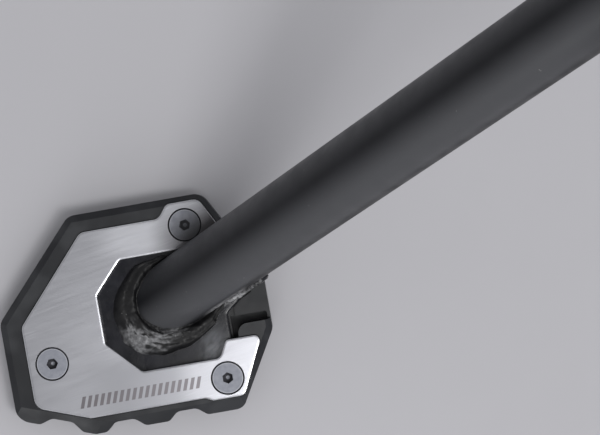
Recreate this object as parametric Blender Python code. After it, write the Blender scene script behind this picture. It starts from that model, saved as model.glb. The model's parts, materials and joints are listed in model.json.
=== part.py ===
"""A motorcycle side stand with a bolted-on foot enlarger, modelled in metres, +Z up.

The row frame has its origin on the bracket's mounting face. +X points to the motorcycle's rear, +Y inboard
and +Z up, and the stand is folded out, with its sole level. Two local frames are used besides:
the foot frame has its axes along the row's and its origin on the sole, and the leg frame has its origin at
the pivot, X across the leg, Y along the pivot axis and Z up the leg.
"""

from math import acos, ceil, cos, pi, radians, sin, tan

import bmesh
import bpy
from mathutils import Matrix, Vector

MM = 0.001
GAP = 0.3 * MM  # running gap between pieces that touch

# Leg: where its axis crosses the foot, how it leans, and how long it is.
TUBE_RADIUS = 14 * MM
TUBE_BORE_RADIUS = 11 * MM
LEG_ELEVATION = radians(45.9)
LEG_AZIMUTH = radians(24.4)
LEG_LENGTH = 330 * MM  # from the foot to the pivot, along the axis
TUBE_TOP = 38 * MM  # below the pivot
AXIS_ON_FOOT = Vector((15.5, 4.1, 12.2)) * MM

# Pivot and bracket.
PIVOT = Vector((0, -44, -56)) * MM
FOLD_ANGLE = radians(110)
FOLDED_DIRECTION = Vector((0.97, -0.15, -0.17))
BOLT_RADIUS = 6 * MM
BUSH_RADIUS = 9 * MM
LUG_HALF_THICKNESS = 6 * MM
LUG_RADIUS = 16 * MM
CHEEK_INNER = 8.1 * MM
CHEEK_THICKNESS = 8 * MM
YOKE_HALF_WIDTH = 16 * MM
WEB_NEAR = 24 * MM  # the yoke's web, measured down the leg from the pivot
WEB_FAR = 34 * MM
BRACKET_SIZE = Vector((92, 12, 64)) * MM
FRAME_BOLT_RADIUS = 5.25 * MM
FRAME_BOLT_HALF_SPACING = Vector((34, 0, 21)) * MM

# Springs.
ANCHOR_DISTANCE = 28 * MM
POST_DISTANCE = 62 * MM
SPRING_PLANE = 34.5 * MM
SPRING_PIN_RADIUS = 5 * MM

# Foot enlarger and foot.
RIM_TOP = 16 * MM
PLATE_TOP = 17.2 * MM
PLATE_THICKNESS = 4 * MM
FOOT_THICKNESS = 5 * MM
FOOT_TOP = PLATE_TOP - PLATE_THICKNESS - GAP
FOOT_BOTTOM = FOOT_TOP - FOOT_THICKNESS
SLOT_FLOOR = 9.6 * MM
CHANNEL_FLOOR = 2.6 * MM
SCREW_PLACES = ((-38.4, -15.2), (23.4, 30.4), (29.8, -32.9))
SCREW_RADIUS = 3 * MM
SCREW_HEAD_RADIUS = 6.2 * MM
SCREW_TIP = 3.2 * MM
SOCKET_DEPTH = 2.7 * MM

# Directions that follow from the sizes above.
HEADING = Vector((cos(LEG_AZIMUTH), sin(LEG_AZIMUTH), 0))
ACROSS = Vector((-sin(LEG_AZIMUTH), cos(LEG_AZIMUTH), 0))
UP = Vector((0, 0, 1))
LEG_AXIS = HEADING * cos(LEG_ELEVATION) + UP * sin(LEG_ELEVATION)
PIVOT_AXIS = (-LEG_AXIS).cross(FOLDED_DIRECTION).normalized()
FOOT_ORIGIN = PIVOT - AXIS_ON_FOOT - LEG_AXIS * LEG_LENGTH
FOOT = Matrix.Translation(FOOT_ORIGIN)


def frame_matrix(x_axis, y_axis, z_axis, origin):
    """A matrix from three axes and an origin."""
    matrix = Matrix((x_axis, y_axis, z_axis)).transposed().to_4x4()
    matrix.translation = origin
    return matrix


LEG = frame_matrix(PIVOT_AXIS.cross(LEG_AXIS), PIVOT_AXIS, LEG_AXIS, PIVOT)
# Parts on the pivot axis are turned about Z, which runs outboard along that axis.
PIVOT_TURN = frame_matrix(PIVOT_AXIS.cross(LEG_AXIS), -LEG_AXIS, PIVOT_AXIS, PIVOT)
IDENTITY = Matrix.Identity(4)


def material(name, colour, roughness, metallic):
    """A Principled material."""
    made = bpy.data.materials.new(name)
    made.use_nodes = True
    shader = made.node_tree.nodes["Principled BSDF"]
    shader.inputs["Base Color"].default_value = (*colour, 1)
    shader.inputs["Roughness"].default_value = roughness
    shader.inputs["Metallic"].default_value = metallic
    return made


def clear_scene():
    for old in list(bpy.data.objects):
        bpy.data.objects.remove(old)


def empty(name, place):
    made = bpy.data.objects.new(name, None)
    made.location = place
    bpy.context.scene.collection.objects.link(made)
    return made


def add_object(name, bm, matrix, finish=None, parent=None, smooth=False):
    """Makes an object of a mesh that is modelled in a local frame, and hangs it on its parent empty."""
    bm.transform(matrix)
    bmesh.ops.recalc_face_normals(bm, faces=bm.faces)
    mesh = bpy.data.meshes.new(name)
    bm.to_mesh(mesh)
    bm.free()
    made = bpy.data.objects.new(name, mesh)
    bpy.context.scene.collection.objects.link(made)
    if finish is not None:
        mesh.materials.append(finish)
    if smooth:
        mesh.shade_smooth()
        mesh.set_sharp_from_angle(angle=radians(35))
    if parent is not None:
        made.parent = parent
        made.matrix_parent_inverse = Matrix.Translation(-parent.location)
    return made


def combine(target, name, bm, matrix, operation="DIFFERENCE"):
    """Cuts a shape from the target, or joins it on, with a hidden helper object."""
    helper = add_object(name, bm, matrix)
    helper.hide_render = True
    helper.display_type = "WIRE"
    modifier = target.modifiers.new(name, "BOOLEAN")
    modifier.operation = operation
    modifier.solver = "EXACT"
    modifier.object = helper


def rounded(corners, step=radians(22.5)):
    """An outline in metres from corners (x, y, radius) in millimetres, with each corner as an arc."""
    points = []
    count = len(corners)
    for i, (x, y, radius) in enumerate(corners):
        here = Vector((x, y)) * MM
        before = Vector(corners[i - 1][:2]) * MM
        after = Vector(corners[(i + 1) % count][:2]) * MM
        back = (before - here).normalized()
        ahead = (after - here).normalized()
        half = acos(max(-1, min(1, back.dot(ahead)))) / 2
        bend = pi - 2 * half
        if radius == 0 or bend < radians(1):
            points.append(here)
            continue
        reach = radius * MM / tan(half)
        centre = here + (back + ahead).normalized() * (radius * MM / sin(half))
        start = here + back * reach - centre
        turn = 1 if back.cross(ahead) < 0 else -1
        arcs = max(1, ceil(bend / step))
        for k in range(arcs + 1):
            angle = turn * bend * k / arcs
            turned = Vector(
                (start.x * cos(angle) - start.y * sin(angle), start.x * sin(angle) + start.y * cos(angle))
            )
            points.append(centre + turned)
    return points


def grown(outline, distance):
    """An outline moved outwards by a small distance; it runs counterclockwise."""
    moved = []
    count = len(outline)
    for i, here in enumerate(outline):
        back = (here - outline[i - 1]).normalized()
        ahead = (outline[(i + 1) % count] - here).normalized()
        normal = Vector((back.y + ahead.y, -back.x - ahead.x)).normalized()
        moved.append(here + normal * distance / max(0.5, normal.dot(Vector((ahead.y, -ahead.x)))))
    return moved


def prism(outline, low, high):
    """An outline drawn up from low to high."""
    bm = bmesh.new()
    bottom = [bm.verts.new((p.x, p.y, low)) for p in outline]
    top = [bm.verts.new((p.x, p.y, high)) for p in outline]
    count = len(outline)
    for i in range(count):
        j = (i + 1) % count
        bm.faces.new((bottom[i], bottom[j], top[j], top[i]))
    bm.faces.new(list(reversed(bottom)))
    bm.faces.new(top)
    return bm


def turned(profile, segments=32):
    """A profile of (radius, height) pairs spun about Z. A profile that starts and ends off the axis is a ring."""
    bm = bmesh.new()
    rings = []
    for radius, height in profile:
        if radius == 0:
            rings.append([bm.verts.new((0, 0, height))])
            continue
        angles = [2 * pi * k / segments for k in range(segments)]
        rings.append([bm.verts.new((radius * cos(a), radius * sin(a), height)) for a in angles])
    closed = profile[0][0] > 0 and profile[-1][0] > 0
    pairs = list(zip(rings, rings[1:] + rings[:1] if closed else rings[1:]))
    for lower, upper in pairs:
        for k in range(segments):
            m = (k + 1) % segments
            corners = [lower[k % len(lower)], lower[m % len(lower)], upper[m % len(upper)], upper[k % len(upper)]]
            bm.faces.new(list(dict.fromkeys(corners)))
    return bm


def polygon_outline(sides, across_flats, turn=0.0):
    """A regular outline, such as a hexagon, by its width across flats."""
    radius = across_flats / 2 / cos(pi / sides)
    angles = [turn + 2 * pi * k / sides for k in range(sides)]
    return [Vector((radius * cos(a), radius * sin(a))) for a in angles]


def box(low, high):
    """A box between two corners."""
    outline = [Vector((low[0], low[1])), Vector((high[0], low[1])), Vector((high[0], high[1]))]
    outline.append(Vector((low[0], high[1])))
    return prism(outline, low[2], high[2])


def wire(points, radius, sides):
    """A round wire along a line of points, with flat ends."""
    bm = bmesh.new()
    rings = []
    side = None
    for i, here in enumerate(points):
        along = (points[min(i + 1, len(points) - 1)] - points[max(i - 1, 0)]).normalized()
        if side is None:
            side = along.orthogonal()
        side = (side - along * side.dot(along)).normalized()
        other = along.cross(side)
        angles = [2 * pi * k / sides for k in range(sides)]
        rings.append([bm.verts.new(here + (side * cos(a) + other * sin(a)) * radius) for a in angles])
    for lower, upper in zip(rings, rings[1:]):
        for k in range(sides):
            m = (k + 1) % sides
            bm.faces.new((lower[k], lower[m], upper[m], upper[k]))
    bm.faces.new(list(reversed(rings[0])))
    bm.faces.new(rings[-1])
    return bm


def leg_plane(turn_angle, distance):
    """A point beside the pivot in the leg frame's XZ plane, by its angle from the folded-out leg."""
    return Vector((-distance * sin(turn_angle), -distance * cos(turn_angle)))


def plan_from_leg(along, aside):
    """A point of the foot's plan, by its distance along and across the leg's heading."""
    point = AXIS_ON_FOOT + HEADING * along * MM + ACROSS * aside * MM
    return point.x / MM, point.y / MM


# ---------------------------------------------------------------- foot enlarger and foot

BASE_CORNERS = [
    (-22.5, 42, 6), (-56.8, 4.2, 6), (-56.6, -35.5, 7),
    (-47.9, -38.6, 3), (-42.6, -36.9, 4), (-34.6, -39.8, 4), (-31.4, -44.6, 3),
    (-26.5, -46.3, 3),
    (-21.8, -46.3, 3), (-17.9, -42.6, 4), (-9.9, -42.6, 4), (-6, -46.3, 3),
    (3.6, -46.3, 3), (7.4, -42.8, 4), (15.3, -42.8, 4), (19.2, -46.3, 3),
    (33.8, -46.3, 5), (50.8, -16.8, 5), (50.8, 7, 5), (31.7, 42, 6),
]  # fmt: skip

# Each slanted top edge of the base: two points of the outline's side, and how far in and down it is cut.
BASE_FACETS = [
    ((-22.5, 42), (-56.8, 4.2), 2.8, 2.8),
    ((-56.8, 4.2), (-56.6, -35.5), 2.8, 2.8),
    ((-56.6, -35.5), (-26.5, -46.3), 6, 4),
    ((-26.5, -46.3), (33.8, -46.3), 4.9, 4),
    ((33.8, -46.3), (50.8, -16.8), 2.8, 2.8),
    ((50.8, -16.8), (50.8, 7), 2.4, 2.4),
    ((50.8, 7), (31.7, 42), 2.8, 2.8),
    ((31.7, 42), (-22.5, 42), 2.8, 2.8),
]

PLATE_CORNERS = [
    (-48, -31.5, 5), (-26.8, -39.3, 3), (19.6, -39.3, 2), (22.6, -40.8, 2), (35.3, -40.8, 3),
    (46.2, -17.8, 2.2), (31.6, -17.8, 1.6), (28.2, -24.6, 3),
    (-3.4, -24.6, 2.5), (-16.2, -11.2, 2.2), (-16.2, 8.8, 2.2), (-4.9, 21.2, 2.5),
    (24, 21.2, 2), (29.5, 24.5, 4), (36.5, 28.2, 1.6),
    (30.4, 39.8, 4), (17.4, 39.8, 3), (13.4, 34.6, 4), (-18.5, 34.6, 4), (-48, 1.3, 4),
]  # fmt: skip

FOOT_CORNERS = [
    (-21.5, -13.4, 3), (-5.8, -28.6, 3), (34, -28.6, 5), (34, -7.5, 2), (*plan_from_leg(20.6, -16), 1),
    (*plan_from_leg(20.6, 11.5), 1), (24.5, 25.6, 4), (-7.6, 25.6, 3), (-21.5, 11, 3),
]  # fmt: skip

TONGUE_LOW_SIDE = -15.8 * MM
TONGUE_HIGH_SIDE = 11.5 * MM
TONGUE_THICKNESS = 4 * MM
TONGUE_RISE = 12.4 * MM
TONGUE_START = 10 * MM


def facet(bm, start, end, inset, drop):
    """Planes off the top edge of one side of the base."""
    along = (Vector((*end, 0)) - Vector((*start, 0))).normalized()
    outward = along.cross(UP)
    lower = Vector((*start, 0)) * MM + UP * (RIM_TOP - drop * MM)
    normal = outward * drop + UP * inset
    geometry = bm.verts[:] + bm.edges[:] + bm.faces[:]
    cut = bmesh.ops.bisect_plane(bm, geom=geometry, plane_co=lower, plane_no=normal, clear_outer=True)
    edges = [e for e in cut["geom_cut"] if isinstance(e, bmesh.types.BMEdge)]
    bmesh.ops.holes_fill(bm, edges=edges)


def make_extension_base(finish, parent):
    """The lower part of the foot enlarger, with a recess for the plate and a pocket and slot for the foot."""
    bm = prism(rounded(BASE_CORNERS), 0, RIM_TOP)
    for side in BASE_FACETS:
        facet(bm, *side)
    base = add_object("extension_base", bm, FOOT, finish, parent)
    above = RIM_TOP + 5 * MM
    recess = prism(grown(rounded(PLATE_CORNERS), 1.2 * GAP), PLATE_TOP - PLATE_THICKNESS - GAP, above)
    combine(base, "cut_recess", recess, FOOT)
    pocket_floor = FOOT_BOTTOM - GAP
    combine(base, "cut_pocket", prism(grown(rounded(FOOT_CORNERS), 1.3 * GAP), pocket_floor, above), FOOT)
    beside = rounded([(30, -28.99, 0), (36.8, -28.99, 3), (36.8, 0, 0), (30, 0, 0)])
    combine(base, "cut_beside_foot", prism(beside, pocket_floor, above), FOOT)
    under_tongue = [(*plan_from_leg(15, -16.6), 0), (*plan_from_leg(25, -16.6), 1)]
    under_tongue += [(*plan_from_leg(25, 12.2), 1), (*plan_from_leg(15, 12.2), 0)]
    combine(base, "cut_under_tongue", prism(rounded(under_tongue), pocket_floor + 0.05 * MM, above), FOOT)
    slot = [(36.7, -12.4, 0), (60, -12.4, 0), (60, 38, 0)]
    slot += [(*plan_from_leg(50, 13.6), 0), (*plan_from_leg(24, 13.6), 1), (36.7, 15.2, 0)]
    combine(base, "cut_slot", prism(rounded(slot), SLOT_FLOOR, above), FOOT)
    channel = [(34.7, -20, 0), (37, -20, 0), (37, -12.6, 4), (49.6, -12.6, 0), (49.6, -9.2, 1), (34.7, -9.2, 0)]
    combine(base, "cut_channel", prism(rounded(channel), CHANNEL_FLOOR, above), FOOT)
    for number, (x, y) in enumerate(SCREW_PLACES, 1):
        hole = turned([(0, SCREW_TIP - 0.7 * MM), (SCREW_RADIUS + GAP, SCREW_TIP - 0.7 * MM),
                       (SCREW_RADIUS + GAP, above), (0, above)], 24)  # fmt: skip
        combine(base, f"cut_thread_{number}", hole, FOOT @ Matrix.Translation(Vector((x, y, 0)) * MM))


def make_clamp_plate(finish, parent):
    """The C-shaped plate that holds the foot down, with three countersunk holes."""
    bm = prism(rounded(PLATE_CORNERS), PLATE_TOP - PLATE_THICKNESS, PLATE_TOP)
    plate = add_object("clamp_plate", bm, FOOT, finish, parent)
    rim = SCREW_HEAD_RADIUS + 0.52 * MM
    reach = 1 * MM
    neck = SCREW_RADIUS + GAP
    depth = rim - neck
    for number, (x, y) in enumerate(SCREW_PLACES, 1):
        profile = [(0, PLATE_TOP - PLATE_THICKNESS - reach), (neck, PLATE_TOP - PLATE_THICKNESS - reach)]
        profile += [(neck, PLATE_TOP - depth), (rim, PLATE_TOP), (rim, PLATE_TOP + reach), (0, PLATE_TOP + reach)]
        place = FOOT @ Matrix.Translation(Vector((x, y, 0)) * MM)
        combine(plate, f"cut_countersink_{number}", turned(profile, 28), place)


def make_clamp_screws(finish, parent):
    """Countersunk screws with a hexagon socket."""
    top = PLATE_TOP - 0.2 * MM
    edge = top - 0.2 * MM
    under_head = edge - (SCREW_HEAD_RADIUS - SCREW_RADIUS)
    chamfer = 0.8 * MM
    socket_turns = (0, 11, 30)
    for number, (x, y) in enumerate(SCREW_PLACES, 1):
        profile = [(0, SCREW_TIP), (SCREW_RADIUS - chamfer, SCREW_TIP), (SCREW_RADIUS, SCREW_TIP + chamfer)]
        profile += [(SCREW_RADIUS, under_head), (SCREW_HEAD_RADIUS, edge), (SCREW_HEAD_RADIUS, top), (0, top)]
        place = FOOT @ Matrix.Translation(Vector((x, y, 0)) * MM)
        screw = add_object(f"clamp_screw_{number}", turned(profile, 28), place, finish, parent, True)
        socket = prism(polygon_outline(6, 4 * MM, radians(socket_turns[number - 1])), top - SOCKET_DEPTH, top + 1 * MM)
        combine(screw, f"cut_socket_{number}", socket, place)


def make_foot_plate(finish, parent):
    """The pressed foot: a flat plate, with a tongue that is turned up under the leg."""
    plate = add_object("foot_plate", prism(rounded(FOOT_CORNERS), FOOT_BOTTOM, FOOT_TOP), FOOT, finish, parent)
    upper = TUBE_RADIUS + GAP
    tip = (TONGUE_RISE + upper * cos(LEG_ELEVATION)) / sin(LEG_ELEVATION)
    corners = [(TONGUE_START / MM, TONGUE_LOW_SIDE / MM, 0), (tip / MM, TONGUE_LOW_SIDE / MM, 1.5)]
    corners += [(tip / MM, TONGUE_HIGH_SIDE / MM, 5), (TONGUE_START / MM, TONGUE_HIGH_SIDE / MM, 0)]
    down = HEADING * sin(LEG_ELEVATION) - UP * cos(LEG_ELEVATION)
    frame = FOOT @ frame_matrix(LEG_AXIS, ACROSS, LEG_AXIS.cross(ACROSS), AXIS_ON_FOOT)
    side = 1 if LEG_AXIS.cross(ACROSS).dot(down) > 0 else -1
    low, high = sorted((side * upper, side * (upper + TONGUE_THICKNESS)))
    tongue = prism(rounded(corners), low, high)
    tongue.transform(frame)
    floor = FOOT_ORIGIN + UP * (FOOT_BOTTOM + 0.1 * MM)
    geometry = tongue.verts[:] + tongue.edges[:] + tongue.faces[:]
    cut = bmesh.ops.bisect_plane(tongue, geom=geometry, plane_co=floor, plane_no=UP, clear_inner=True)
    bmesh.ops.holes_fill(tongue, edges=[e for e in cut["geom_cut"] if isinstance(e, bmesh.types.BMEdge)])
    combine(plate, "join_tongue", tongue, IDENTITY, "UNION")


# ---------------------------------------------------------------- leg


def on_tube(angle, radius, height):
    """A point on a cylinder about the leg's axis, at a height in the foot frame."""
    offset = ACROSS * sin(angle) * radius
    offset += (HEADING * sin(LEG_ELEVATION) - UP * cos(LEG_ELEVATION)) * cos(angle) * radius
    start = AXIS_ON_FOOT + offset
    return start + LEG_AXIS * ((height - start.z) / LEG_AXIS.z)


def make_leg_tube(finish, parent):
    """The leg: a tube that is cut off level on the foot."""
    segments = 56
    bm = bmesh.new()
    level = FOOT_TOP + GAP
    top_centre = AXIS_ON_FOOT + LEG_AXIS * (LEG_LENGTH - TUBE_TOP)
    rings = []
    for radius, at_top in ((TUBE_RADIUS, False), (TUBE_RADIUS, True), (TUBE_BORE_RADIUS, True),
                           (TUBE_BORE_RADIUS, False)):  # fmt: skip
        ring = []
        for k in range(segments):
            point = on_tube(2 * pi * k / segments, radius, level)
            if at_top:
                point += LEG_AXIS * (top_centre - point).dot(LEG_AXIS)
            ring.append(bm.verts.new(point))
        rings.append(ring)
    for lower, upper in zip(rings, rings[1:] + rings[:1]):
        for k in range(segments):
            m = (k + 1) % segments
            bm.faces.new((lower[k], lower[m], upper[m], upper[k]))
    add_object("leg_tube", bm, FOOT, finish, parent, True)


# The weld's width on the foot, in millimetres, by the angle in degrees round the leg from its underside.
WELD_WIDTHS = ((48, 1), (75, 1.2), (92, 4), (112, 8.6), (150, 9.4), (178, 9.2), (194, 11), (212, 12.4),
               (230, 12), (250, 11), (272, 8.6), (290, 5.6), (312, 3))  # fmt: skip


def weld_width(angle):
    """The weld's width at an angle, with an even slope from one measured place to the next."""
    for (low, first), (high, second) in zip(WELD_WIDTHS, WELD_WIDTHS[1:]):
        if angle <= high:
            share = (angle - low) / (high - low)
            return (first + (second - first) * share) * MM
    return WELD_WIDTHS[-1][1] * MM


def make_foot_weld(finish, parent):
    """The low, wide weld bead round the tube's end, open towards the tongue."""
    bm = bmesh.new()
    level = FOOT_TOP + GAP
    start, end = WELD_WIDTHS[0][0], WELD_WIDTHS[-1][0]
    steps = 36
    clear = TUBE_RADIUS + 1.6 * GAP
    rings = []
    for k in range(steps + 1):
        angle = start + (end - start) * k / steps
        across = weld_width(angle) * sin(LEG_ELEVATION)
        crown = 1 * MM + 0.2 * weld_width(angle)
        section = [(clear, 0), (TUBE_RADIUS + across, 0), (TUBE_RADIUS + 0.85 * across, 0.5 * crown)]
        section += [(clear + 0.5 * across, crown), (clear + 0.14 * across, 0.9 * crown)]
        ring = [on_tube(radians(angle), radius, level + rise) for radius, rise in section]
        rings.append([bm.verts.new(p) for p in ring])
    for lower, upper in zip(rings, rings[1:]):
        for k in range(5):
            m = (k + 1) % 5
            bm.faces.new((lower[k], lower[m], upper[m], upper[k]))
    bm.faces.new(list(reversed(rings[0])))
    bm.faces.new(rings[-1])
    add_object("foot_weld", bm, FOOT, finish, parent, True)


def make_pivot_yoke(finish, parent):
    """The forged yoke: a spigot in the tube, a collar, a web and two cheeks on either side of the lug."""
    outer = CHEEK_INNER + CHEEK_THICKNESS
    body = rounded([(-YOKE_HALF_WIDTH / MM, -outer / MM, 3), (YOKE_HALF_WIDTH / MM, -outer / MM, 3),
                    (YOKE_HALF_WIDTH / MM, outer / MM, 3), (-YOKE_HALF_WIDTH / MM, outer / MM, 3)])  # fmt: skip
    yoke = add_object("pivot_yoke", prism(body, -WEB_FAR, YOKE_HALF_WIDTH + 2 * MM), LEG, finish, parent, True)
    spigot = [(0, -TUBE_TOP - 28 * MM), (TUBE_BORE_RADIUS - 1.5 * MM, -TUBE_TOP - 28 * MM)]
    spigot += [(TUBE_BORE_RADIUS - GAP, -TUBE_TOP - 26 * MM), (TUBE_BORE_RADIUS - GAP, -TUBE_TOP + GAP)]
    spigot += [(TUBE_RADIUS, -TUBE_TOP + GAP), (TUBE_RADIUS, -WEB_FAR + 1 * MM), (0, -WEB_FAR + 1 * MM)]
    combine(yoke, "join_spigot", turned(spigot, 28), LEG, "UNION")
    between = box((-40 * MM, -CHEEK_INNER, -WEB_NEAR), (40 * MM, CHEEK_INNER, 40 * MM))
    combine(yoke, "cut_fork", between, LEG)
    end_radius = YOKE_HALF_WIDTH
    arc = [Vector((end_radius * cos(radians(a)), end_radius * sin(radians(a)))) for a in range(0, 181, 15)]
    outside = arc + [Vector((-end_radius - 5 * MM, 0)), Vector((-end_radius - 5 * MM, 30 * MM))]
    outside += [Vector((end_radius + 5 * MM, 30 * MM)), Vector((end_radius + 5 * MM, 0))]
    round_end = prism(outside, -30 * MM, 30 * MM)
    upright = frame_matrix(Vector((1, 0, 0)), Vector((0, 0, 1)), Vector((0, -1, 0)), Vector((0, 0, 0)))
    combine(yoke, "cut_round_end", round_end, LEG @ upright)
    bore = BOLT_RADIUS + GAP
    hole = turned([(0, -30 * MM), (bore, -30 * MM), (bore, 30 * MM), (0, 30 * MM)], 28)
    combine(yoke, "cut_bolt_hole", hole, PIVOT_TURN)


def make_yoke_weld(finish, parent):
    """The ring of weld between the tube's top and the yoke's collar."""
    low = -TUBE_TOP - 2.6 * MM
    inner = TUBE_RADIUS + GAP
    profile = [(inner, low), (inner + 1.1 * MM, low + 0.9 * MM), (inner + 1.5 * MM, low + 2.4 * MM)]
    profile += [(inner + 1 * MM, low + 4.4 * MM), (inner, low + 5 * MM)]
    add_object("yoke_weld", turned(profile, 28), LEG, finish, parent, True)


def make_spring_post(steel, weld, parent):
    """The post that the springs' lower hooks go round, and the weld at its foot."""
    post = frame_matrix(Vector((1, 0, 0)), Vector((0, 0, -1)), Vector((0, 1, 0)), Vector((0, 0, -POST_DISTANCE)))
    tube = [(0, -30 * MM), (TUBE_RADIUS + GAP, -30 * MM), (TUBE_RADIUS + GAP, 30 * MM), (0, 30 * MM)]
    along = LEG @ Matrix.Translation((0, 0, -POST_DISTANCE))
    made = add_object("spring_post", turned(pin_profile(10 * MM)), LEG @ post, steel, parent, True)
    combine(made, "cut_post_saddle", turned(tube, 56), along)
    inner = SPRING_PIN_RADIUS + GAP
    ring = [(inner, 8 * MM), (inner + 4.4 * MM, 8 * MM), (inner + 4 * MM, 14 * MM), (inner, 17.6 * MM)]
    bead = add_object("post_weld", turned(ring, 32), LEG @ post, weld, parent, True)
    combine(bead, "cut_weld_saddle", turned(tube, 56), along)


def pin_profile(start):
    """A spring pin from its foot to its head, along the pivot axis, measured from the leg's middle."""
    head = SPRING_PLANE + 4.6 * MM
    radius = SPRING_PIN_RADIUS
    profile = [(0, start), (radius, start), (radius, head), (radius + 2.6 * MM, head + 0.6 * MM)]
    profile += [(radius + 2.6 * MM, head + 2.4 * MM), (radius + 1.8 * MM, head + 3 * MM), (0, head + 3 * MM)]
    return profile


# ---------------------------------------------------------------- bracket and pivot


def lug_outline():
    """The lug in the leg frame's XZ plane: round where the yoke sweeps, and two flats that stop the yoke."""
    reach = WEB_FAR
    flat = YOKE_HALF_WIDTH + GAP
    up_in_leg = LEG.to_3x3().inverted() @ UP
    up = Vector((up_in_leg.x, up_in_leg.z)).normalized()
    side = Vector((-up.y, up.x))
    ahead = Vector((-cos(FOLD_ANGLE), sin(FOLD_ANGLE)))
    folded = leg_plane(FOLD_ANGLE, 1)
    points = []
    for k in range(0, 17):
        angle = -(pi + FOLD_ANGLE) * k / 16
        points.append(Vector((LUG_RADIUS * cos(angle), LUG_RADIUS * sin(angle))))
    points.append(ahead * flat)
    points.append(folded * reach + ahead * flat)
    points.append(folded * (reach - 4 * MM) + ahead * (flat + 12 * MM))
    points.append(up * 34 * MM + side * 24 * MM)
    points.append(up * 90 * MM + side * 24 * MM)
    points.append(up * 90 * MM - side * 24 * MM)
    points.append(up * 48 * MM - side * 24 * MM)
    points.append(Vector((flat + 13 * MM, -reach + 6 * MM)))
    points.append(Vector((flat + 7 * MM, -reach)))
    points.append(Vector((flat, -reach)))
    points.append(Vector((flat, 0)))
    return points


def make_mount_bracket(finish):
    """The cast bracket: a plate with four bolt holes, and the lug that carries the pivot."""
    half = BRACKET_SIZE / 2
    outline = rounded([(-half.x / MM, -half.z / MM, 10), (half.x / MM, -half.z / MM, 10),
                       (half.x / MM, half.z / MM, 10), (-half.x / MM, half.z / MM, 10)])  # fmt: skip
    to_wall = frame_matrix(Vector((1, 0, 0)), Vector((0, 0, 1)), Vector((0, -1, 0)), Vector((0, 0, 0)))
    bracket = add_object("mount_bracket", prism(outline, 0, BRACKET_SIZE.y), to_wall, finish, None, True)
    lug = prism(lug_outline(), -LUG_HALF_THICKNESS, LUG_HALF_THICKNESS)
    upright = frame_matrix(Vector((1, 0, 0)), Vector((0, 0, 1)), Vector((0, -1, 0)), Vector((0, 0, 0)))
    lug.transform(LEG @ upright)
    geometry = lug.verts[:] + lug.edges[:] + lug.faces[:]
    inside = Vector((0, -BRACKET_SIZE.y / 2, 0))
    cut = bmesh.ops.bisect_plane(lug, geom=geometry, plane_co=inside, plane_no=Vector((0, 1, 0)), clear_outer=True)
    bmesh.ops.holes_fill(lug, edges=[e for e in cut["geom_cut"] if isinstance(e, bmesh.types.BMEdge)])
    combine(bracket, "join_lug", lug, IDENTITY, "UNION")
    for number, (right, upper) in enumerate(((-1, -1), (1, -1), (1, 1), (-1, 1)), 1):
        place = Vector((right * FRAME_BOLT_HALF_SPACING.x, 0, upper * FRAME_BOLT_HALF_SPACING.z))
        hole = turned([(0, -5 * MM), (FRAME_BOLT_RADIUS, -5 * MM), (FRAME_BOLT_RADIUS, 20 * MM), (0, 20 * MM)], 32)
        combine(bracket, f"cut_frame_bolt_{number}", hole, Matrix.Translation(place) @ to_wall)
    for name, radius, place in (
        ("cut_bush_hole", BUSH_RADIUS + GAP, Vector((0, 0))),
        ("cut_anchor_hole", SPRING_PIN_RADIUS + GAP, anchor_place()),
        ("cut_switch_pin_hole", 2.5 * MM + GAP, switch_pin_place()),
    ):
        hole = turned([(0, -20 * MM), (radius, -20 * MM), (radius, 20 * MM), (0, 20 * MM)], 28)
        combine(bracket, name, hole, LEG @ Matrix.Translation((place.x, 0, place.y)) @ turn_to_pivot())


def turn_to_pivot():
    """In the leg frame, stands a turned part on the pivot axis."""
    return frame_matrix(Vector((1, 0, 0)), Vector((0, 0, -1)), Vector((0, 1, 0)), Vector((0, 0, 0)))


def anchor_place():
    """Opposite the middle of the post's swing, so that the springs pull the leg to either stop."""
    return leg_plane(FOLD_ANGLE / 2 + pi, ANCHOR_DISTANCE)


def switch_pin_place():
    return Vector((YOKE_HALF_WIDTH + 7 * MM, -15 * MM))


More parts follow.
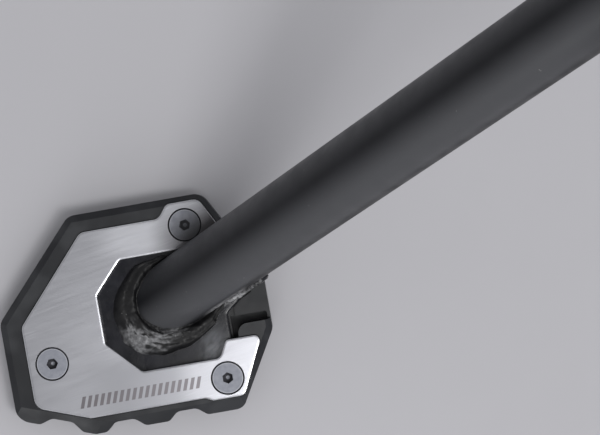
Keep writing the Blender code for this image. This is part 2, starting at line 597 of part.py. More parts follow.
def make_pivot_parts(bronze, steel, plated, nylon, parent):
    """The bush in the lug, and the bolt, washers and lock nut that turn with the yoke."""
    outer = CHEEK_INNER + CHEEK_THICKNESS
    bore = BOLT_RADIUS + 0.1 * MM
    bush = [(bore, -LUG_HALF_THICKNESS - 0.1 * MM), (BUSH_RADIUS, -LUG_HALF_THICKNESS - 0.1 * MM)]
    bush += [(BUSH_RADIUS, LUG_HALF_THICKNESS + 0.1 * MM), (bore, LUG_HALF_THICKNESS + 0.1 * MM)]
    add_object("pivot_bush", turned(bush), PIVOT_TURN, bronze, None, True)
    for name, low in (("thrust_washer_outer", LUG_HALF_THICKNESS + GAP + 0.1 * MM),
                      ("thrust_washer_inner", -LUG_HALF_THICKNESS - GAP - 1.5 * MM)):  # fmt: skip
        high = low + 1.4 * MM
        ring = [(bore + GAP, low), (12.5 * MM, low), (12.5 * MM, high), (bore + GAP, high)]
        add_object(name, turned(ring, 28), PIVOT_TURN, bronze, parent, True)
    head = outer + GAP
    nut = -outer - GAP
    flange = 12 * MM
    tip = nut - 8.4 * MM
    screw_hole = 2.9 * MM
    profile = [(0, tip + 9 * MM), (screw_hole, tip + 9 * MM), (screw_hole, tip), (BOLT_RADIUS - 1 * MM, tip)]
    profile += [(BOLT_RADIUS, tip + 1 * MM), (BOLT_RADIUS, head), (flange, head), (flange, head + 1.4 * MM)]
    profile += [(flange - 1.8 * MM, head + 2.2 * MM), (0, head + 2.2 * MM)]
    bolt = add_object("pivot_bolt", turned(profile), PIVOT_TURN, plated, parent, True)
    hexagon = prism(polygon_outline(6, 17 * MM), head + 1.5 * MM, head + 7.6 * MM)
    combine(bolt, "join_bolt_head", hexagon, PIVOT_TURN, "UNION")
    lock_nut = prism(polygon_outline(6, 18 * MM, radians(13)), nut - 5.2 * MM, nut)
    made = add_object("lock_nut", lock_nut, PIVOT_TURN, plated, parent)
    hole = turned([(0, -40 * MM), (BOLT_RADIUS + GAP, -40 * MM), (BOLT_RADIUS + GAP, 0), (0, 0)], 28)
    combine(made, "cut_nut_bore", hole, PIVOT_TURN)
    ring_low, ring_high = nut - 7.3 * MM, nut - 5.2 * MM - GAP
    ring = [(bore + GAP, ring_low), (8 * MM, ring_low), (8 * MM, ring_high), (bore + GAP, ring_high)]
    add_object("nut_locking_ring", turned(ring, 28), PIVOT_TURN, nylon, parent, True)


def make_switch(plastic, plated, rubber, parent):
    """The stand switch on the pivot bolt's inner end: a rotor on the leg, a housing that a bracket pin holds."""
    front = -(CHEEK_INNER + CHEEK_THICKNESS + GAP + 8.4 * MM + GAP)
    rotor_back = front - 3.2 * MM
    rotor = [(3 * MM, rotor_back), (13 * MM, rotor_back), (13 * MM, front), (3 * MM, front)]
    add_object("switch_rotor", turned(rotor, 28), PIVOT_TURN, plastic, parent, True)
    housing_front = rotor_back - GAP
    housing_back = housing_front - 8.6 * MM
    ring = [(3.2 * MM, housing_back), (14.6 * MM, housing_back), (16 * MM, housing_back + 1.4 * MM)]
    ring += [(16 * MM, housing_front), (3.2 * MM, housing_front)]
    housing = add_object("switch_housing", turned(ring), PIVOT_TURN, plastic, None, True)
    pin = switch_pin_place()
    reach = pin.length
    aim = pin.normalized()
    low, high = -4.5 * MM, 4.5 * MM
    arm = rounded([(12, low / MM, 0), (reach / MM, low / MM, 4.4), (reach / MM + 4.6, 0, 3),
                   (reach / MM, high / MM, 4.4), (12, high / MM, 0)])  # fmt: skip
    place = LEG @ frame_matrix(Vector((aim.x, 0, aim.y)), Vector((-aim.y, 0, aim.x)), Vector((0, -1, 0)),
                               Vector((0, 0, 0)))  # fmt: skip
    combine(housing, "join_switch_arm", prism(arm, -housing_front + 0.2 * MM, -housing_front + 4 * MM), place, "UNION")
    at_pin = LEG @ Matrix.Translation((pin.x, 0, pin.y)) @ turn_to_pivot()
    hole = turned([(0, -60 * MM), (2.5 * MM + GAP, -60 * MM), (2.5 * MM + GAP, 0), (0, 0)], 24)
    combine(housing, "cut_switch_eye", hole, at_pin)
    outlet_middle = (housing_front + housing_back) / 2
    outlet = LEG @ Matrix.Translation((0, outlet_middle, 0))
    combine(housing, "join_outlet", turned([(0, 10 * MM), (3.9 * MM, 10 * MM), (3.9 * MM, 22 * MM), (0, 22 * MM)], 24),
            outlet, "UNION")  # fmt: skip
    bore = turned([(0, 19 * MM), (2.7 * MM, 19 * MM), (2.7 * MM, 30 * MM), (0, 30 * MM)], 24)
    combine(housing, "cut_outlet_bore", bore, outlet)
    gland = [(1.5 * MM, 19.3 * MM), (2.4 * MM, 19.3 * MM), (2.4 * MM, 22.3 * MM), (3.9 * MM, 22.3 * MM)]
    gland += [(3.3 * MM, 30 * MM), (1.5 * MM, 30 * MM)]
    add_object("cable_gland", turned(gland, 24), outlet, rubber, None, True)
    head = housing_back - GAP
    profile = [(0, head - 2.6 * MM), (3.4 * MM, head - 2.6 * MM), (4.4 * MM, head - 1.8 * MM), (4.4 * MM, head)]
    profile += [(2.5 * MM, head), (2.5 * MM, front + 5 * MM), (0, front + 5 * MM)]
    screw = add_object("switch_screw", turned(profile, 32), PIVOT_TURN, plated, parent, True)
    socket = prism(polygon_outline(6, 3 * MM), head - 4 * MM, head - 1.2 * MM)
    combine(screw, "cut_switch_socket", socket, PIVOT_TURN)
    pin_end = housing_front - 5.4 * MM
    stub = [(0, pin_end), (2.1 * MM, pin_end), (2.5 * MM, pin_end + 0.4 * MM), (2.5 * MM, 5.6 * MM), (0, 5.6 * MM)]
    add_object("switch_pin", turned(stub, 24), at_pin, plated, None, True)


# ---------------------------------------------------------------- springs


def spring_line(mean_radius, wire_radius, pitch, shift, side, per_turn):
    """The centre line of a spring with a hook round each pin, in a frame from anchor to post."""
    anchor, post = anchor_place(), leg_plane(0, POST_DISTANCE)
    length = (post - anchor).length
    hook = SPRING_PIN_RADIUS + GAP + wire_radius
    start = hook + 6 * MM
    turns = round((length - 2 * start) / pitch)
    rise = (length - 2 * start) / turns
    first = []
    for k in range(11):
        angle = radians(60 - 240 * k / 10)
        first.append(Vector((side * hook * cos(angle), shift, hook * sin(angle))))
    first.append(Vector((-side * hook, shift, 0.4 * start)))
    coil = []
    for k in range(turns * per_turn + 1):
        angle = 2 * pi * k / per_turn
        place = Vector((-side * mean_radius * cos(angle), mean_radius * sin(angle), start + rise * k / per_turn))
        coil.append(place)
    last = [Vector((p.x, p.y, length - p.z)) for p in reversed(first)]
    return first + coil + last


def make_springs(finish, parent):
    """Two springs, one inside the other, from the bracket's pin to the leg's post."""
    anchor, post = anchor_place(), leg_plane(0, POST_DISTANCE)
    aim = (post - anchor).normalized()
    along = Vector((aim.x, 0, aim.y))
    normal = Vector((0, 1, 0))
    place = LEG @ frame_matrix(normal.cross(along), normal, along, Vector((anchor.x, SPRING_PLANE, anchor.y)))
    outer = spring_line(7.5 * MM, 1.5 * MM, 4.4 * MM, 1.9 * MM, 1, 10)
    inner = spring_line(4.3 * MM, 1 * MM, 3.4 * MM, -1.5 * MM, -1, 8)
    add_object("outer_spring", wire(outer, 1.5 * MM, 5), place, finish, parent, True)
    add_object("inner_spring", wire(inner, 1 * MM, 4), place, finish, parent, True)


def make_anchor_pin(finish):
    """The pin in the lug that the springs' upper hooks go round."""
    place = anchor_place()
    back = -LUG_HALF_THICKNESS - GAP
    profile = [(0, back - 2 * MM), (6.4 * MM, back - 2 * MM), (6.9 * MM, back - 1.5 * MM), (6.9 * MM, back)]
    profile += pin_profile(back)[1:]
    add_object("spring_anchor_pin", turned(profile), LEG @ Matrix.Translation((place.x, 0, place.y)) @ turn_to_pivot(),
               finish, None, True)  # fmt: skip


def main():
    clear_scene()
    powder = material("satin_black_powder_coat", (0.028, 0.03, 0.033), 0.42, 0.0)
    cast = material("black_cast_steel", (0.03, 0.031, 0.034), 0.55, 0.2)
    anodised = material("black_anodised_aluminium", (0.03, 0.033, 0.038), 0.45, 0.6)
    brushed = material("brushed_aluminium", (0.62, 0.63, 0.66), 0.3, 1.0)
    pressed = material("black_pressed_steel", (0.02, 0.021, 0.026), 0.35, 0.1)
    weld = material("painted_weld", (0.05, 0.048, 0.045), 0.4, 0.4)
    zinc = material("zinc_plated_steel", (0.5, 0.52, 0.55), 0.35, 1.0)
    bronze = material("bronze", (0.5, 0.33, 0.16), 0.4, 1.0)
    spring_steel = material("oiled_spring_steel", (0.09, 0.09, 0.1), 0.35, 0.8)
    plastic = material("black_plastic", (0.02, 0.02, 0.022), 0.5, 0.0)
    nylon = material("blue_nylon", (0.05, 0.12, 0.35), 0.5, 0.0)
    rubber = material("rubber", (0.015, 0.015, 0.015), 0.8, 0.0)

    leg_pivot = empty("leg_pivot", PIVOT)
    anchor = anchor_place()
    spring_pivot = empty("spring_pivot", LEG @ Vector((anchor.x, SPRING_PLANE, anchor.y)))

    make_extension_base(anodised, leg_pivot)
    make_clamp_plate(brushed, leg_pivot)
    make_clamp_screws(zinc, leg_pivot)
    make_foot_plate(pressed, leg_pivot)
    make_leg_tube(powder, leg_pivot)
    make_foot_weld(weld, leg_pivot)
    make_pivot_yoke(powder, leg_pivot)
    make_yoke_weld(powder, leg_pivot)
    make_spring_post(zinc, powder, leg_pivot)
    make_mount_bracket(cast)
    make_pivot_parts(bronze, zinc, zinc, nylon, leg_pivot)
    make_switch(plastic, zinc, rubber, leg_pivot)
    make_springs(spring_steel, spring_pivot)
    make_anchor_pin(zinc)


main()
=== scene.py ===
"""The looks of a motorcycle side stand with a foot enlarger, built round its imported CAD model."""

import json
from math import acos, ceil, cos, exp, pi, radians, sin, tan

import bmesh
import bpy
from mathutils import Matrix, Vector, noise


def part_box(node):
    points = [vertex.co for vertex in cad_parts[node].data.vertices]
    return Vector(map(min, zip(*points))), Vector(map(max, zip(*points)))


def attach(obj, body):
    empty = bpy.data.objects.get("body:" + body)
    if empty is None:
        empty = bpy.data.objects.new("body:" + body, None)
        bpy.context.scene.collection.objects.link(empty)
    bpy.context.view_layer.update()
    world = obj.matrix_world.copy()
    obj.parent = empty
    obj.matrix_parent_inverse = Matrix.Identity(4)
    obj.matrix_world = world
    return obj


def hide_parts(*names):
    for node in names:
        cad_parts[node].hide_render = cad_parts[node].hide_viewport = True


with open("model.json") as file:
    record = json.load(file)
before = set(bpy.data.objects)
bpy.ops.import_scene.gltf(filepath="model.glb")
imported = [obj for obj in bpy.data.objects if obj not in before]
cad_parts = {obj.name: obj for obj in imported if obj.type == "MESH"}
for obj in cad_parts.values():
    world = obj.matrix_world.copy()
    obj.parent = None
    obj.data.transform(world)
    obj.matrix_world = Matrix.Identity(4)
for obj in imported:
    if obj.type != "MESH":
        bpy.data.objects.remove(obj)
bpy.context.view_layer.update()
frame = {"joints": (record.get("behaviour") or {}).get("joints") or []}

MM = 0.001
X_AXIS = Vector((1, 0, 0))
Y_AXIS = Vector((0, 1, 0))
UP = Vector((0, 0, 1))
ORIGIN = Vector((0, 0, 0))
GAP = 0.3 * MM

# ---------------------------------------------------------------- places, worked out from the frame

base_low, base_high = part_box("extension_base")
plate_low, plate_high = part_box("clamp_plate")
foot_low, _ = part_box("foot_plate")
FOOT_ORIGIN = Vector((base_low.x + 56.8 * MM, base_low.y + 46.3 * MM, base_low.z))
FOOT = Matrix.Translation(FOOT_ORIGIN)
RIM_TOP = base_high.z - base_low.z
PLATE_BOTTOM = plate_low.z - base_low.z
PLATE_TOP = plate_high.z - base_low.z
FOOT_BOTTOM = foot_low.z - base_low.z
FOOT_TOP = PLATE_BOTTOM - GAP

fold = next(joint for joint in frame["joints"] if joint["name"] == "leg_fold")
PIVOT = Vector(fold["pos_m"])
PIVOT_AXIS = Vector(fold["axis"]).normalized()
FOLD_ANGLE = radians(110)
LEG_ELEVATION = radians(45.9)
LEG_AZIMUTH = radians(24.4)
HEADING = Vector((cos(LEG_AZIMUTH), sin(LEG_AZIMUTH), 0))
ACROSS = Vector((-sin(LEG_AZIMUTH), cos(LEG_AZIMUTH), 0))
LEG_AXIS = HEADING * cos(LEG_ELEVATION) + UP * sin(LEG_ELEVATION)
UNDERSIDE = HEADING * sin(LEG_ELEVATION) - UP * cos(LEG_ELEVATION)
LEG_LENGTH = 330 * MM
AXIS_ON_FOOT = PIVOT - FOOT_ORIGIN - LEG_AXIS * LEG_LENGTH
TUBE_RADIUS = 14 * MM
TUBE_BORE_RADIUS = 11 * MM
TUBE_TOP = 38 * MM

BOLT_RADIUS = 6 * MM
BUSH_RADIUS = 9 * MM
LUG_HALF_THICKNESS = 6 * MM
LUG_RADIUS = 16 * MM
CHEEK_INNER = 8.1 * MM
CHEEK_THICKNESS = 8 * MM
YOKE_HALF_WIDTH = 16 * MM
WEB_NEAR = 24 * MM
WEB_FAR = 34 * MM
ANCHOR_DISTANCE = 28 * MM
POST_DISTANCE = 62 * MM
SPRING_PLANE = 34.5 * MM
SPRING_PIN_RADIUS = 5 * MM


def frame_matrix(x_axis, y_axis, z_axis, origin):
    """A matrix from three axes and an origin."""
    matrix = Matrix((x_axis, y_axis, z_axis)).transposed().to_4x4()
    matrix.translation = origin
    return matrix


LEG = frame_matrix(PIVOT_AXIS.cross(LEG_AXIS), PIVOT_AXIS, LEG_AXIS, PIVOT)
PIVOT_TURN = frame_matrix(PIVOT_AXIS.cross(LEG_AXIS), -LEG_AXIS, PIVOT_AXIS, PIVOT)
UPRIGHT = frame_matrix(X_AXIS, UP, -Y_AXIS, ORIGIN)
ON_PIVOT = frame_matrix(X_AXIS, -UP, Y_AXIS, ORIGIN)


# ---------------------------------------------------------------- materials

BRUSHED = radians(10)  # the brush marks' direction
BARS_CORNER = FOOT_ORIGIN + Vector((-30.9, -34.9, 0)) * MM
BARS_LENGTH = 49.4 * MM
BARS_HEIGHT = 4.6 * MM
BAR_PITCH = 2.6 * MM
BAR_HALF_WIDTH = 0.72 * MM
BAR_SLANT = 0.35


class Finish:
    """A Principled material that is built up node by node."""

    def __init__(self, name, **values):
        self.material = bpy.data.materials.new(name)
        self.material.use_nodes = True
        self.tree = self.material.node_tree
        self.shader = self.tree.nodes["Principled BSDF"]
        for key, value in values.items():
            self.shader.inputs[key.replace("_", " ")].default_value = value
        self.place = self.node("ShaderNodeTexCoord").outputs["Object"]

    def node(self, kind, **settings):
        made = self.tree.nodes.new(kind)
        for key, value in settings.items():
            setattr(made, key, value)
        return made

    def link(self, source, target):
        self.tree.links.new(source, target)

    def feed(self, socket, value):
        """Sets a socket to a number or colour, or links it to another socket."""
        if isinstance(value, tuple):
            socket.default_value = (*value, 1)
        elif isinstance(value, (int, float)):
            socket.default_value = value
        else:
            self.link(value, socket)

    def mapped(self, scale, turn):
        """The place, stretched by a scale along each axis and turned about Z."""
        made = self.node("ShaderNodeMapping", vector_type="TEXTURE")
        made.inputs["Scale"].default_value = [1 / part for part in scale]
        made.inputs["Rotation"].default_value = (0, 0, turn)
        self.link(self.place, made.inputs["Vector"])
        return made.outputs["Vector"]

    def noise(self, scale, detail, roughness=0.55, vector=None):
        made = self.node("ShaderNodeTexNoise")
        for key, number in (("Scale", scale), ("Detail", detail), ("Roughness", roughness)):
            made.inputs[key].default_value = number
        self.link(vector or self.place, made.inputs["Vector"])
        return made.outputs["Fac"]

    def grain(self, scale, detail, low=0.0, high=1.0):
        """Noise with more contrast, from low to high."""
        return self.spread(self.noise(scale, detail), 0.3, 0.7, low, high)

    def cells(self, scale):
        made = self.node("ShaderNodeTexVoronoi")
        made.inputs["Scale"].default_value = scale
        self.link(self.place, made.inputs["Vector"])
        return made.outputs["Distance"]

    def spread(self, value, low, high, out_low=0.0, out_high=1.0):
        """Takes the range from low to high to another range, with soft ends."""
        made = self.node("ShaderNodeMapRange", interpolation_type="SMOOTHSTEP")
        limits = {"From Min": low, "From Max": high, "To Min": out_low, "To Max": out_high}
        for key, number in limits.items():
            made.inputs[key].default_value = number
        self.link(value, made.inputs["Value"])
        return made.outputs["Result"]

    def maths(self, operation, *values):
        made = self.node("ShaderNodeMath", operation=operation)
        for socket, value in zip(made.inputs, values):
            self.feed(socket, value)
        return made.outputs["Value"]

    def product(self, first, *others):
        for other in others:
            first = self.maths("MULTIPLY", first, other)
        return first

    def mix(self, share, first, second):
        made = self.node("ShaderNodeMixRGB")
        self.feed(made.inputs["Fac"], share)
        self.feed(made.inputs["Color1"], first)
        self.feed(made.inputs["Color2"], second)
        return made.outputs["Color"]

    def attribute(self, name):
        return self.node("ShaderNodeAttribute", attribute_name=name).outputs["Fac"]

    def dot(self, source, axis):
        made = self.node("ShaderNodeVectorMath", operation="DOT_PRODUCT")
        self.link(source, made.inputs[0])
        made.inputs[1].default_value = axis
        return made.outputs["Value"]

    def facing(self, direction):
        """How far the surface faces a direction, in the object's frame."""
        return self.dot(self.node("ShaderNodeTexCoord").outputs["Normal"], direction.normalized())

    def along(self, axis, start):
        """The distance along an axis from a point."""
        return self.maths("SUBTRACT", self.dot(self.place, axis), start.dot(axis))

    def painted_leg_shade(self):
        """1 where the leg's shade and dark reflection are painted on the foot's upper side beside the leg,
        and fading out.
        """
        start = FOOT_ORIGIN + AXIS_ON_FOOT
        aside = self.along(ACROSS, start)
        near = self.spread(aside, 14 * MM, 31 * MM, 1.0, 0.0)
        upper = self.spread(aside, 5 * MM, 7 * MM)
        above = self.spread(self.along(HEADING, start), -4 * MM, 19 * MM)
        return self.product(near, upper, above)

    def slope(self):
        """1 where the surface is level in the object's frame, 0 where it is upright."""
        return self.maths("ABSOLUTE", self.facing(UP))

    def within(self, value, middle, reach):
        """1 inside a range and 0 outside it, with a narrow soft edge."""
        away = self.maths("ABSOLUTE", self.maths("SUBTRACT", value, middle))
        return self.spread(away, reach - 0.05 * MM, reach + 0.05 * MM, 1.0, 0.0)

    def window(self, value, rise, fall):
        """1 between two soft edges, each given by its two ends."""
        return self.product(self.spread(value, *rise), self.spread(value, *fall, 1.0, 0.0))

    def near_screws(self, radius):
        """1 within a distance of any foot screw's axis, with a narrow soft edge."""
        flat = self.node("ShaderNodeVectorMath", operation="MULTIPLY")
        self.link(self.place, flat.inputs[0])
        flat.inputs[1].default_value = (1, 1, 0)
        total = 0.0
        for x, y in SCREW_PLACES:
            axis = at_foot(x, y).translation
            away = self.node("ShaderNodeVectorMath", operation="DISTANCE")
            self.link(flat.outputs["Vector"], away.inputs[0])
            away.inputs[1].default_value = (axis.x, axis.y, 0)
            inside = self.spread(away.outputs["Value"], radius - 0.06 * MM, radius + 0.06 * MM, 1.0, 0.0)
            total = self.maths("ADD", inside, total)
        return total

    def band(self):
        """An etched band of plain slanted bars along the plate's lower edge."""
        upward = self.along(Y_AXIS, BARS_CORNER)
        slanted = self.maths("SUBTRACT", self.along(X_AXIS, BARS_CORNER), self.product(upward, BAR_SLANT))
        bars = self.within(self.maths("PINGPONG", slanted, BAR_PITCH / 2), BAR_PITCH / 2, BAR_HALF_WIDTH)
        beside = self.within(slanted, BARS_LENGTH / 2, BARS_LENGTH / 2)
        return self.product(bars, beside, self.within(upward, BARS_HEIGHT / 2, BARS_HEIGHT / 2))

    def dust(self, scale, size, patch):
        """Sparse small specks."""
        specks = self.spread(self.cells(scale), size * 0.6, size, 1.0, 0.0)
        return self.product(specks, self.spread(self.noise(patch, 2), 0.55, 0.68))

    def surface(self, colour, roughness, metallic=None):
        for key, value in (("Base Color", colour), ("Roughness", roughness), ("Metallic", metallic)):
            if value is not None:
                self.link(value, self.shader.inputs[key])

    def bump(self, *layers):
        """Bump from (height, strength, distance) layers, one over the other."""
        normal = None
        for height, strength, distance in layers:
            made = self.node("ShaderNodeBump")
            made.inputs["Strength"].default_value = strength
            made.inputs["Distance"].default_value = distance
            self.link(height, made.inputs["Height"])
            if normal is not None:
                self.link(normal, made.inputs["Normal"])
            normal = made.outputs["Normal"]
        self.link(normal, self.shader.inputs["Normal"])


def powder_coat():
    """Satin black powder coat with fine orange peel and dust; painted light makes its lit side and upper
    edge lighter and its low edge darker, with a painted highlight strip along that edge near the foot."""
    made = Finish("powder_coat", Specular_IOR_Level=0.28)
    tone = made.spread(made.noise(38, 5), 0.3, 0.75)
    body = made.mix(tone, (0.009, 0.0093, 0.0115), (0.014, 0.0145, 0.0175))
    # painted light: the side that faces the lamps is lighter
    painted_lit_side = made.spread(made.facing(ACROSS * -0.66 - UNDERSIDE * 0.75), 0.42, 1.0)
    body = made.mix(painted_lit_side, body, (0.07, 0.0715, 0.078))
    # painted sheen: the upper edge is lighter
    body = made.mix(made.spread(made.facing(ACROSS), 0.3, 1.0), body, (0.055, 0.056, 0.062))
    # painted shade: the low edge is darker
    body = made.mix(made.spread(made.facing(-ACROSS), 0.8, 0.99), body, (0.008, 0.0083, 0.01))
    # painted highlight: a light strip along the low edge near the foot
    low_side = made.spread(made.facing(-ACROSS), 0.9, 0.97)
    from_strip = made.maths("ABSOLUTE", made.along(HEADING, FOOT_ORIGIN + AXIS_ON_FOOT + HEADING * 15 * MM))
    strip = made.spread(from_strip, 5 * MM, 12 * MM, 1.0, 0.0)
    rubbed = made.product(low_side, strip, made.spread(made.noise(420, 4), 0.32, 0.62))
    body = made.mix(rubbed, body, (0.3, 0.3, 0.31))
    made.surface(made.mix(made.dust(330, 0.08, 60), body, (0.3, 0.3, 0.29)), made.grain(110, 4, 0.36, 0.5))
    made.bump((made.noise(1500, 3), 0.2, 0.00012), (made.noise(120, 3), 0.12, 0.0005))
    return made.material


def foot_paint():
    """Semi-gloss black paint with a bluish cast, chipped where the wear is, with a painted sheen in light
    bluish streaks on its right half.
    """
    made = Finish("foot_paint", Specular_IOR_Level=0.3)
    tone = made.spread(made.noise(120, 5), 0.35, 0.7)
    body = made.mix(tone, (0.010, 0.0105, 0.014), (0.016, 0.0165, 0.022))
    speckled = made.mix(made.dust(900, 0.1, 220), body, (0.16, 0.16, 0.17))
    wear = made.spread(made.attribute("wear"), 0.35, 0.6)
    # painted sheen: light bluish streaks on the foot's right half
    with_sheen = made.mix(made.attribute("painted_sheen"), speckled, (0.18, 0.187, 0.205))
    made.surface(
        made.mix(wear, with_sheen, (0.42, 0.41, 0.4)), made.grain(260, 4, 0.17, 0.26), made.product(wear, 0.8)
    )
    made.bump((made.noise(700, 3), 0.22, 0.00014), (made.noise(1900, 2), 0.2, 0.00006))
    return made.material


def weld_paint():
    """Black paint over a lumpy bead, rubbed through to bare streaky metal where the wear is; on the tongue's
    thin bead the same layer gives a painted highlight.
    """
    made = Finish("weld_paint", Specular_IOR_Level=0.3)
    tone = made.spread(made.noise(240, 5), 0.3, 0.75)
    body = made.mix(tone, (0.006, 0.006, 0.007), (0.013, 0.0128, 0.0135))
    speckled = made.mix(made.dust(700, 0.1, 160), body, (0.3, 0.3, 0.3))
    wear = made.attribute("wear")
    bare = made.mix(made.grain(700, 4), (0.1, 0.1, 0.105), (0.25, 0.252, 0.262))
    # lightest where the wear runs highest: brighter bare metal on the worn patch, and a painted highlight on
    # the tongue's thin bead
    bare = made.mix(made.spread(wear, 0.85, 1.5), bare, (0.46, 0.465, 0.48))
    made.surface(
        made.mix(made.spread(wear, 0.05, 0.45), speckled, bare),
        made.grain(420, 4, 0.38, 0.55),
        made.product(made.spread(wear, 0.3, 0.9), 0.3),
    )
    made.bump((made.noise(1100, 3), 0.2, 0.0001), (made.noise(260, 3), 0.15, 0.0003))
    return made.material


def black_anodised():
    """Black anodised aluminium: a fine blasted surface with slow lighter patches."""
    made = Finish("black_anodised", Specular_IOR_Level=0.4)
    body = made.mix(made.grain(60, 4), (0.010, 0.011, 0.014), (0.017, 0.0185, 0.022))
    patches = made.spread(made.noise(30, 3, 0.6), 0.5, 0.62, 0.0, 0.6)
    made.surface(made.mix(patches, body, (0.04, 0.042, 0.047)), made.grain(90, 4, 0.34, 0.5))
    made.bump((made.noise(2600, 2), 0.22, 0.00006), (made.noise(240, 3), 0.1, 0.0002))
    return made.material


def brushed_plate():
    """Satin aluminium with short fine brush marks, painted light and shade in two areas, etched bars,
    polished bevels, painted shade and dark reflection beside the leg, and painted shade in the gaps round
    the screws."""
    made = Finish("brushed_plate", Metallic=0.85)
    fine = made.noise(1.0, 5, 0.7, made.mapped((90, 2600, 90), BRUSHED))
    medium = made.noise(1.0, 3, 0.6, made.mapped((60, 900, 60), BRUSHED))
    strokes = made.spread(made.noise(1.0, 2, 0.5, made.mapped((70, 1500, 70), BRUSHED)), 0.6, 0.74)
    sparse = made.spread(made.noise(34, 3), 0.48, 0.62)
    tone = made.mix(made.spread(fine, 0.3, 0.7), (0.46, 0.464, 0.50), (0.49, 0.494, 0.53))
    tone = made.mix(made.product(strokes, sparse, 0.4), tone, (0.8, 0.81, 0.85))
    rightward, upward = made.along(X_AXIS, FOOT_ORIGIN), made.along(Y_AXIS, FOOT_ORIGIN)
    # painted light: a lighter area along the plate's top
    top = made.spread(upward, 20 * MM, 27 * MM)
    painted_light_area = made.product(made.window(rightward, (-18 * MM, -2 * MM), (7 * MM, 16 * MM)), top)
    tone = made.mix(painted_light_area, tone, (0.64, 0.646, 0.69))
    # painted shade: a darker area towards the plate's bottom
    bottom = made.spread(upward, -24 * MM, -12 * MM, 1.0, 0.0)
    painted_shade_area = made.product(made.window(rightward, (-36 * MM, -10 * MM), (7 * MM, 19 * MM)), bottom)
    tone = made.mix(painted_shade_area, tone, (0.36, 0.363, 0.392))
    tone = made.mix(made.product(made.band(), 0.95), tone, (0.19, 0.177, 0.19))
    # painted shade and the leg's dark reflection beside the leg
    tone = made.mix(made.painted_leg_shade(), tone, (0.08, 0.076, 0.08))
    level = made.spread(made.slope(), 0.93, 0.995)
    tone = made.mix(level, (0.88, 0.89, 0.93), tone)
    # painted shade in the gaps round the screws
    tone = made.mix(made.near_screws(SCREW_HEAD_RADIUS + 0.6 * MM), tone, (0.07, 0.07, 0.075))
    satin = made.spread(medium, 0.3, 0.7, 0.29, 0.33)
    made.surface(tone, made.product(satin, made.maths("MULTIPLY_ADD", level, 0.45, 0.5)))
    made.bump((fine, 0.03, 0.00003))
    return made.material


def plain_metal(name, dark, light, rough_low, rough_high, scale, metallic=1.0, marks=None):
    """Satin metal with grain and slow changes of tone. A function may add painted light and shade to its
    colour.
    """
    made = Finish(name, Metallic=metallic)
    slow = made.spread(made.noise(scale / 7, 3), 0.4, 0.75, 0.0, 0.6)
    colour = made.mix(slow, made.mix(made.grain(scale, 5), dark, light), dark)
    if marks:
        colour = marks(made, colour)
    made.surface(colour, made.grain(scale * 1.6, 4, rough_low, rough_high))
    made.bump((made.noise(scale * 4, 3), 0.25, 0.00005))
    return made.material


def screw_painted_light(made, colour):
    """Painted light and shade on the foot screws: a painted highlight on their rims, painted shade in their
    sockets, and painted shade and reflection beside the leg.
    """
    rim = made.maths("SUBTRACT", made.near_screws(6.1 * MM), made.near_screws(5.85 * MM))
    # painted highlight on the heads' rims
    colour = made.mix(made.product(rim, 0.6), colour, (0.55, 0.56, 0.6))
    inside = made.maths("SUBTRACT", made.near_screws(2.4 * MM), made.near_screws(0.75 * MM))
    deep = made.spread(made.along(UP, FOOT_ORIGIN + UP * PLATE_TOP), -1 * MM, -0.5 * MM, 1.0, 0.0)
    # painted shade down in the sockets
    colour = made.mix(made.product(inside, deep), colour, (0.06, 0.06, 0.07))
    # painted shade and the leg's dark reflection beside the leg
    return made.mix(made.painted_leg_shade(), colour, (0.07, 0.07, 0.075))


def moulded(name, dark, light, rough_low, rough_high, scale, strength):
    """Moulded or cast stock with an even grain."""
    made = Finish(name, Specular_IOR_Level=0.5)
    made.surface(
        made.mix(made.grain(scale / 8, 4), dark, light), made.grain(scale / 3, 4, rough_low, rough_high)
    )
    made.bump((made.noise(scale, 3), strength, 0.0003), (made.noise(scale * 3, 3), strength * 0.6, 0.0001))
    return made.material


# ---------------------------------------------------------------- mesh helpers


ARC_STEP = radians(7)


def rounded(corners):
    """An outline in metres from corners (x, y, radius) in millimetres, with each corner as an arc."""
    points = []
    count = len(corners)
    for i, (x, y, radius) in enumerate(corners):
        here = Vector((x, y)) * MM
        before = Vector(corners[i - 1][:2]) * MM
        after = Vector(corners[(i + 1) % count][:2]) * MM
        back = (before - here).normalized()
        ahead = (after - here).normalized()
        half = acos(max(-1, min(1, back.dot(ahead)))) / 2
        bend = pi - 2 * half
        if radius == 0 or bend < radians(1):
            points.append(here)
            continue
        reach = radius * MM / tan(half)
        centre = here + (back + ahead).normalized() * (radius * MM / sin(half))
        start = here + back * reach - centre
        turn = 1 if back.cross(ahead) < 0 else -1
        arcs = max(1, ceil(bend / ARC_STEP))
        for k in range(arcs + 1):
            angle = turn * bend * k / arcs
            along = start.x * cos(angle) - start.y * sin(angle)
            points.append(centre + Vector((along, start.x * sin(angle) + start.y * cos(angle))))
    return points


def grown(outline, distance):
    """An outline moved outwards by a small distance; it runs counterclockwise."""
    moved = []
    count = len(outline)
    for i, here in enumerate(outline):
        back = (here - outline[i - 1]).normalized()
        ahead = (outline[(i + 1) % count] - here).normalized()
        normal = Vector((back.y + ahead.y, -back.x - ahead.x)).normalized()
        moved.append(here + normal * distance / max(0.5, normal.dot(Vector((ahead.y, -ahead.x)))))
    return moved


def skin(bm, rings, caps=True):
    """Joins rings of points with faces, and closes the ends."""
    made = [[bm.verts.new(p) for p in ring] for ring in rings]
    for lower, upper in zip(made, made[1:]):
        count = len(lower)
        for k in range(count):
            m = (k + 1) % count
            bm.faces.new((lower[k], lower[m], upper[m], upper[k]))
    if caps:
        bm.faces.new(list(reversed(made[0])))
        bm.faces.new(made[-1])
    return made


def prism(outline, low, high):
    """An outline drawn up from low to high."""
    bm = bmesh.new()
    skin(bm, [[(p.x, p.y, z) for p in outline] for z in (low, high)])
    return bm


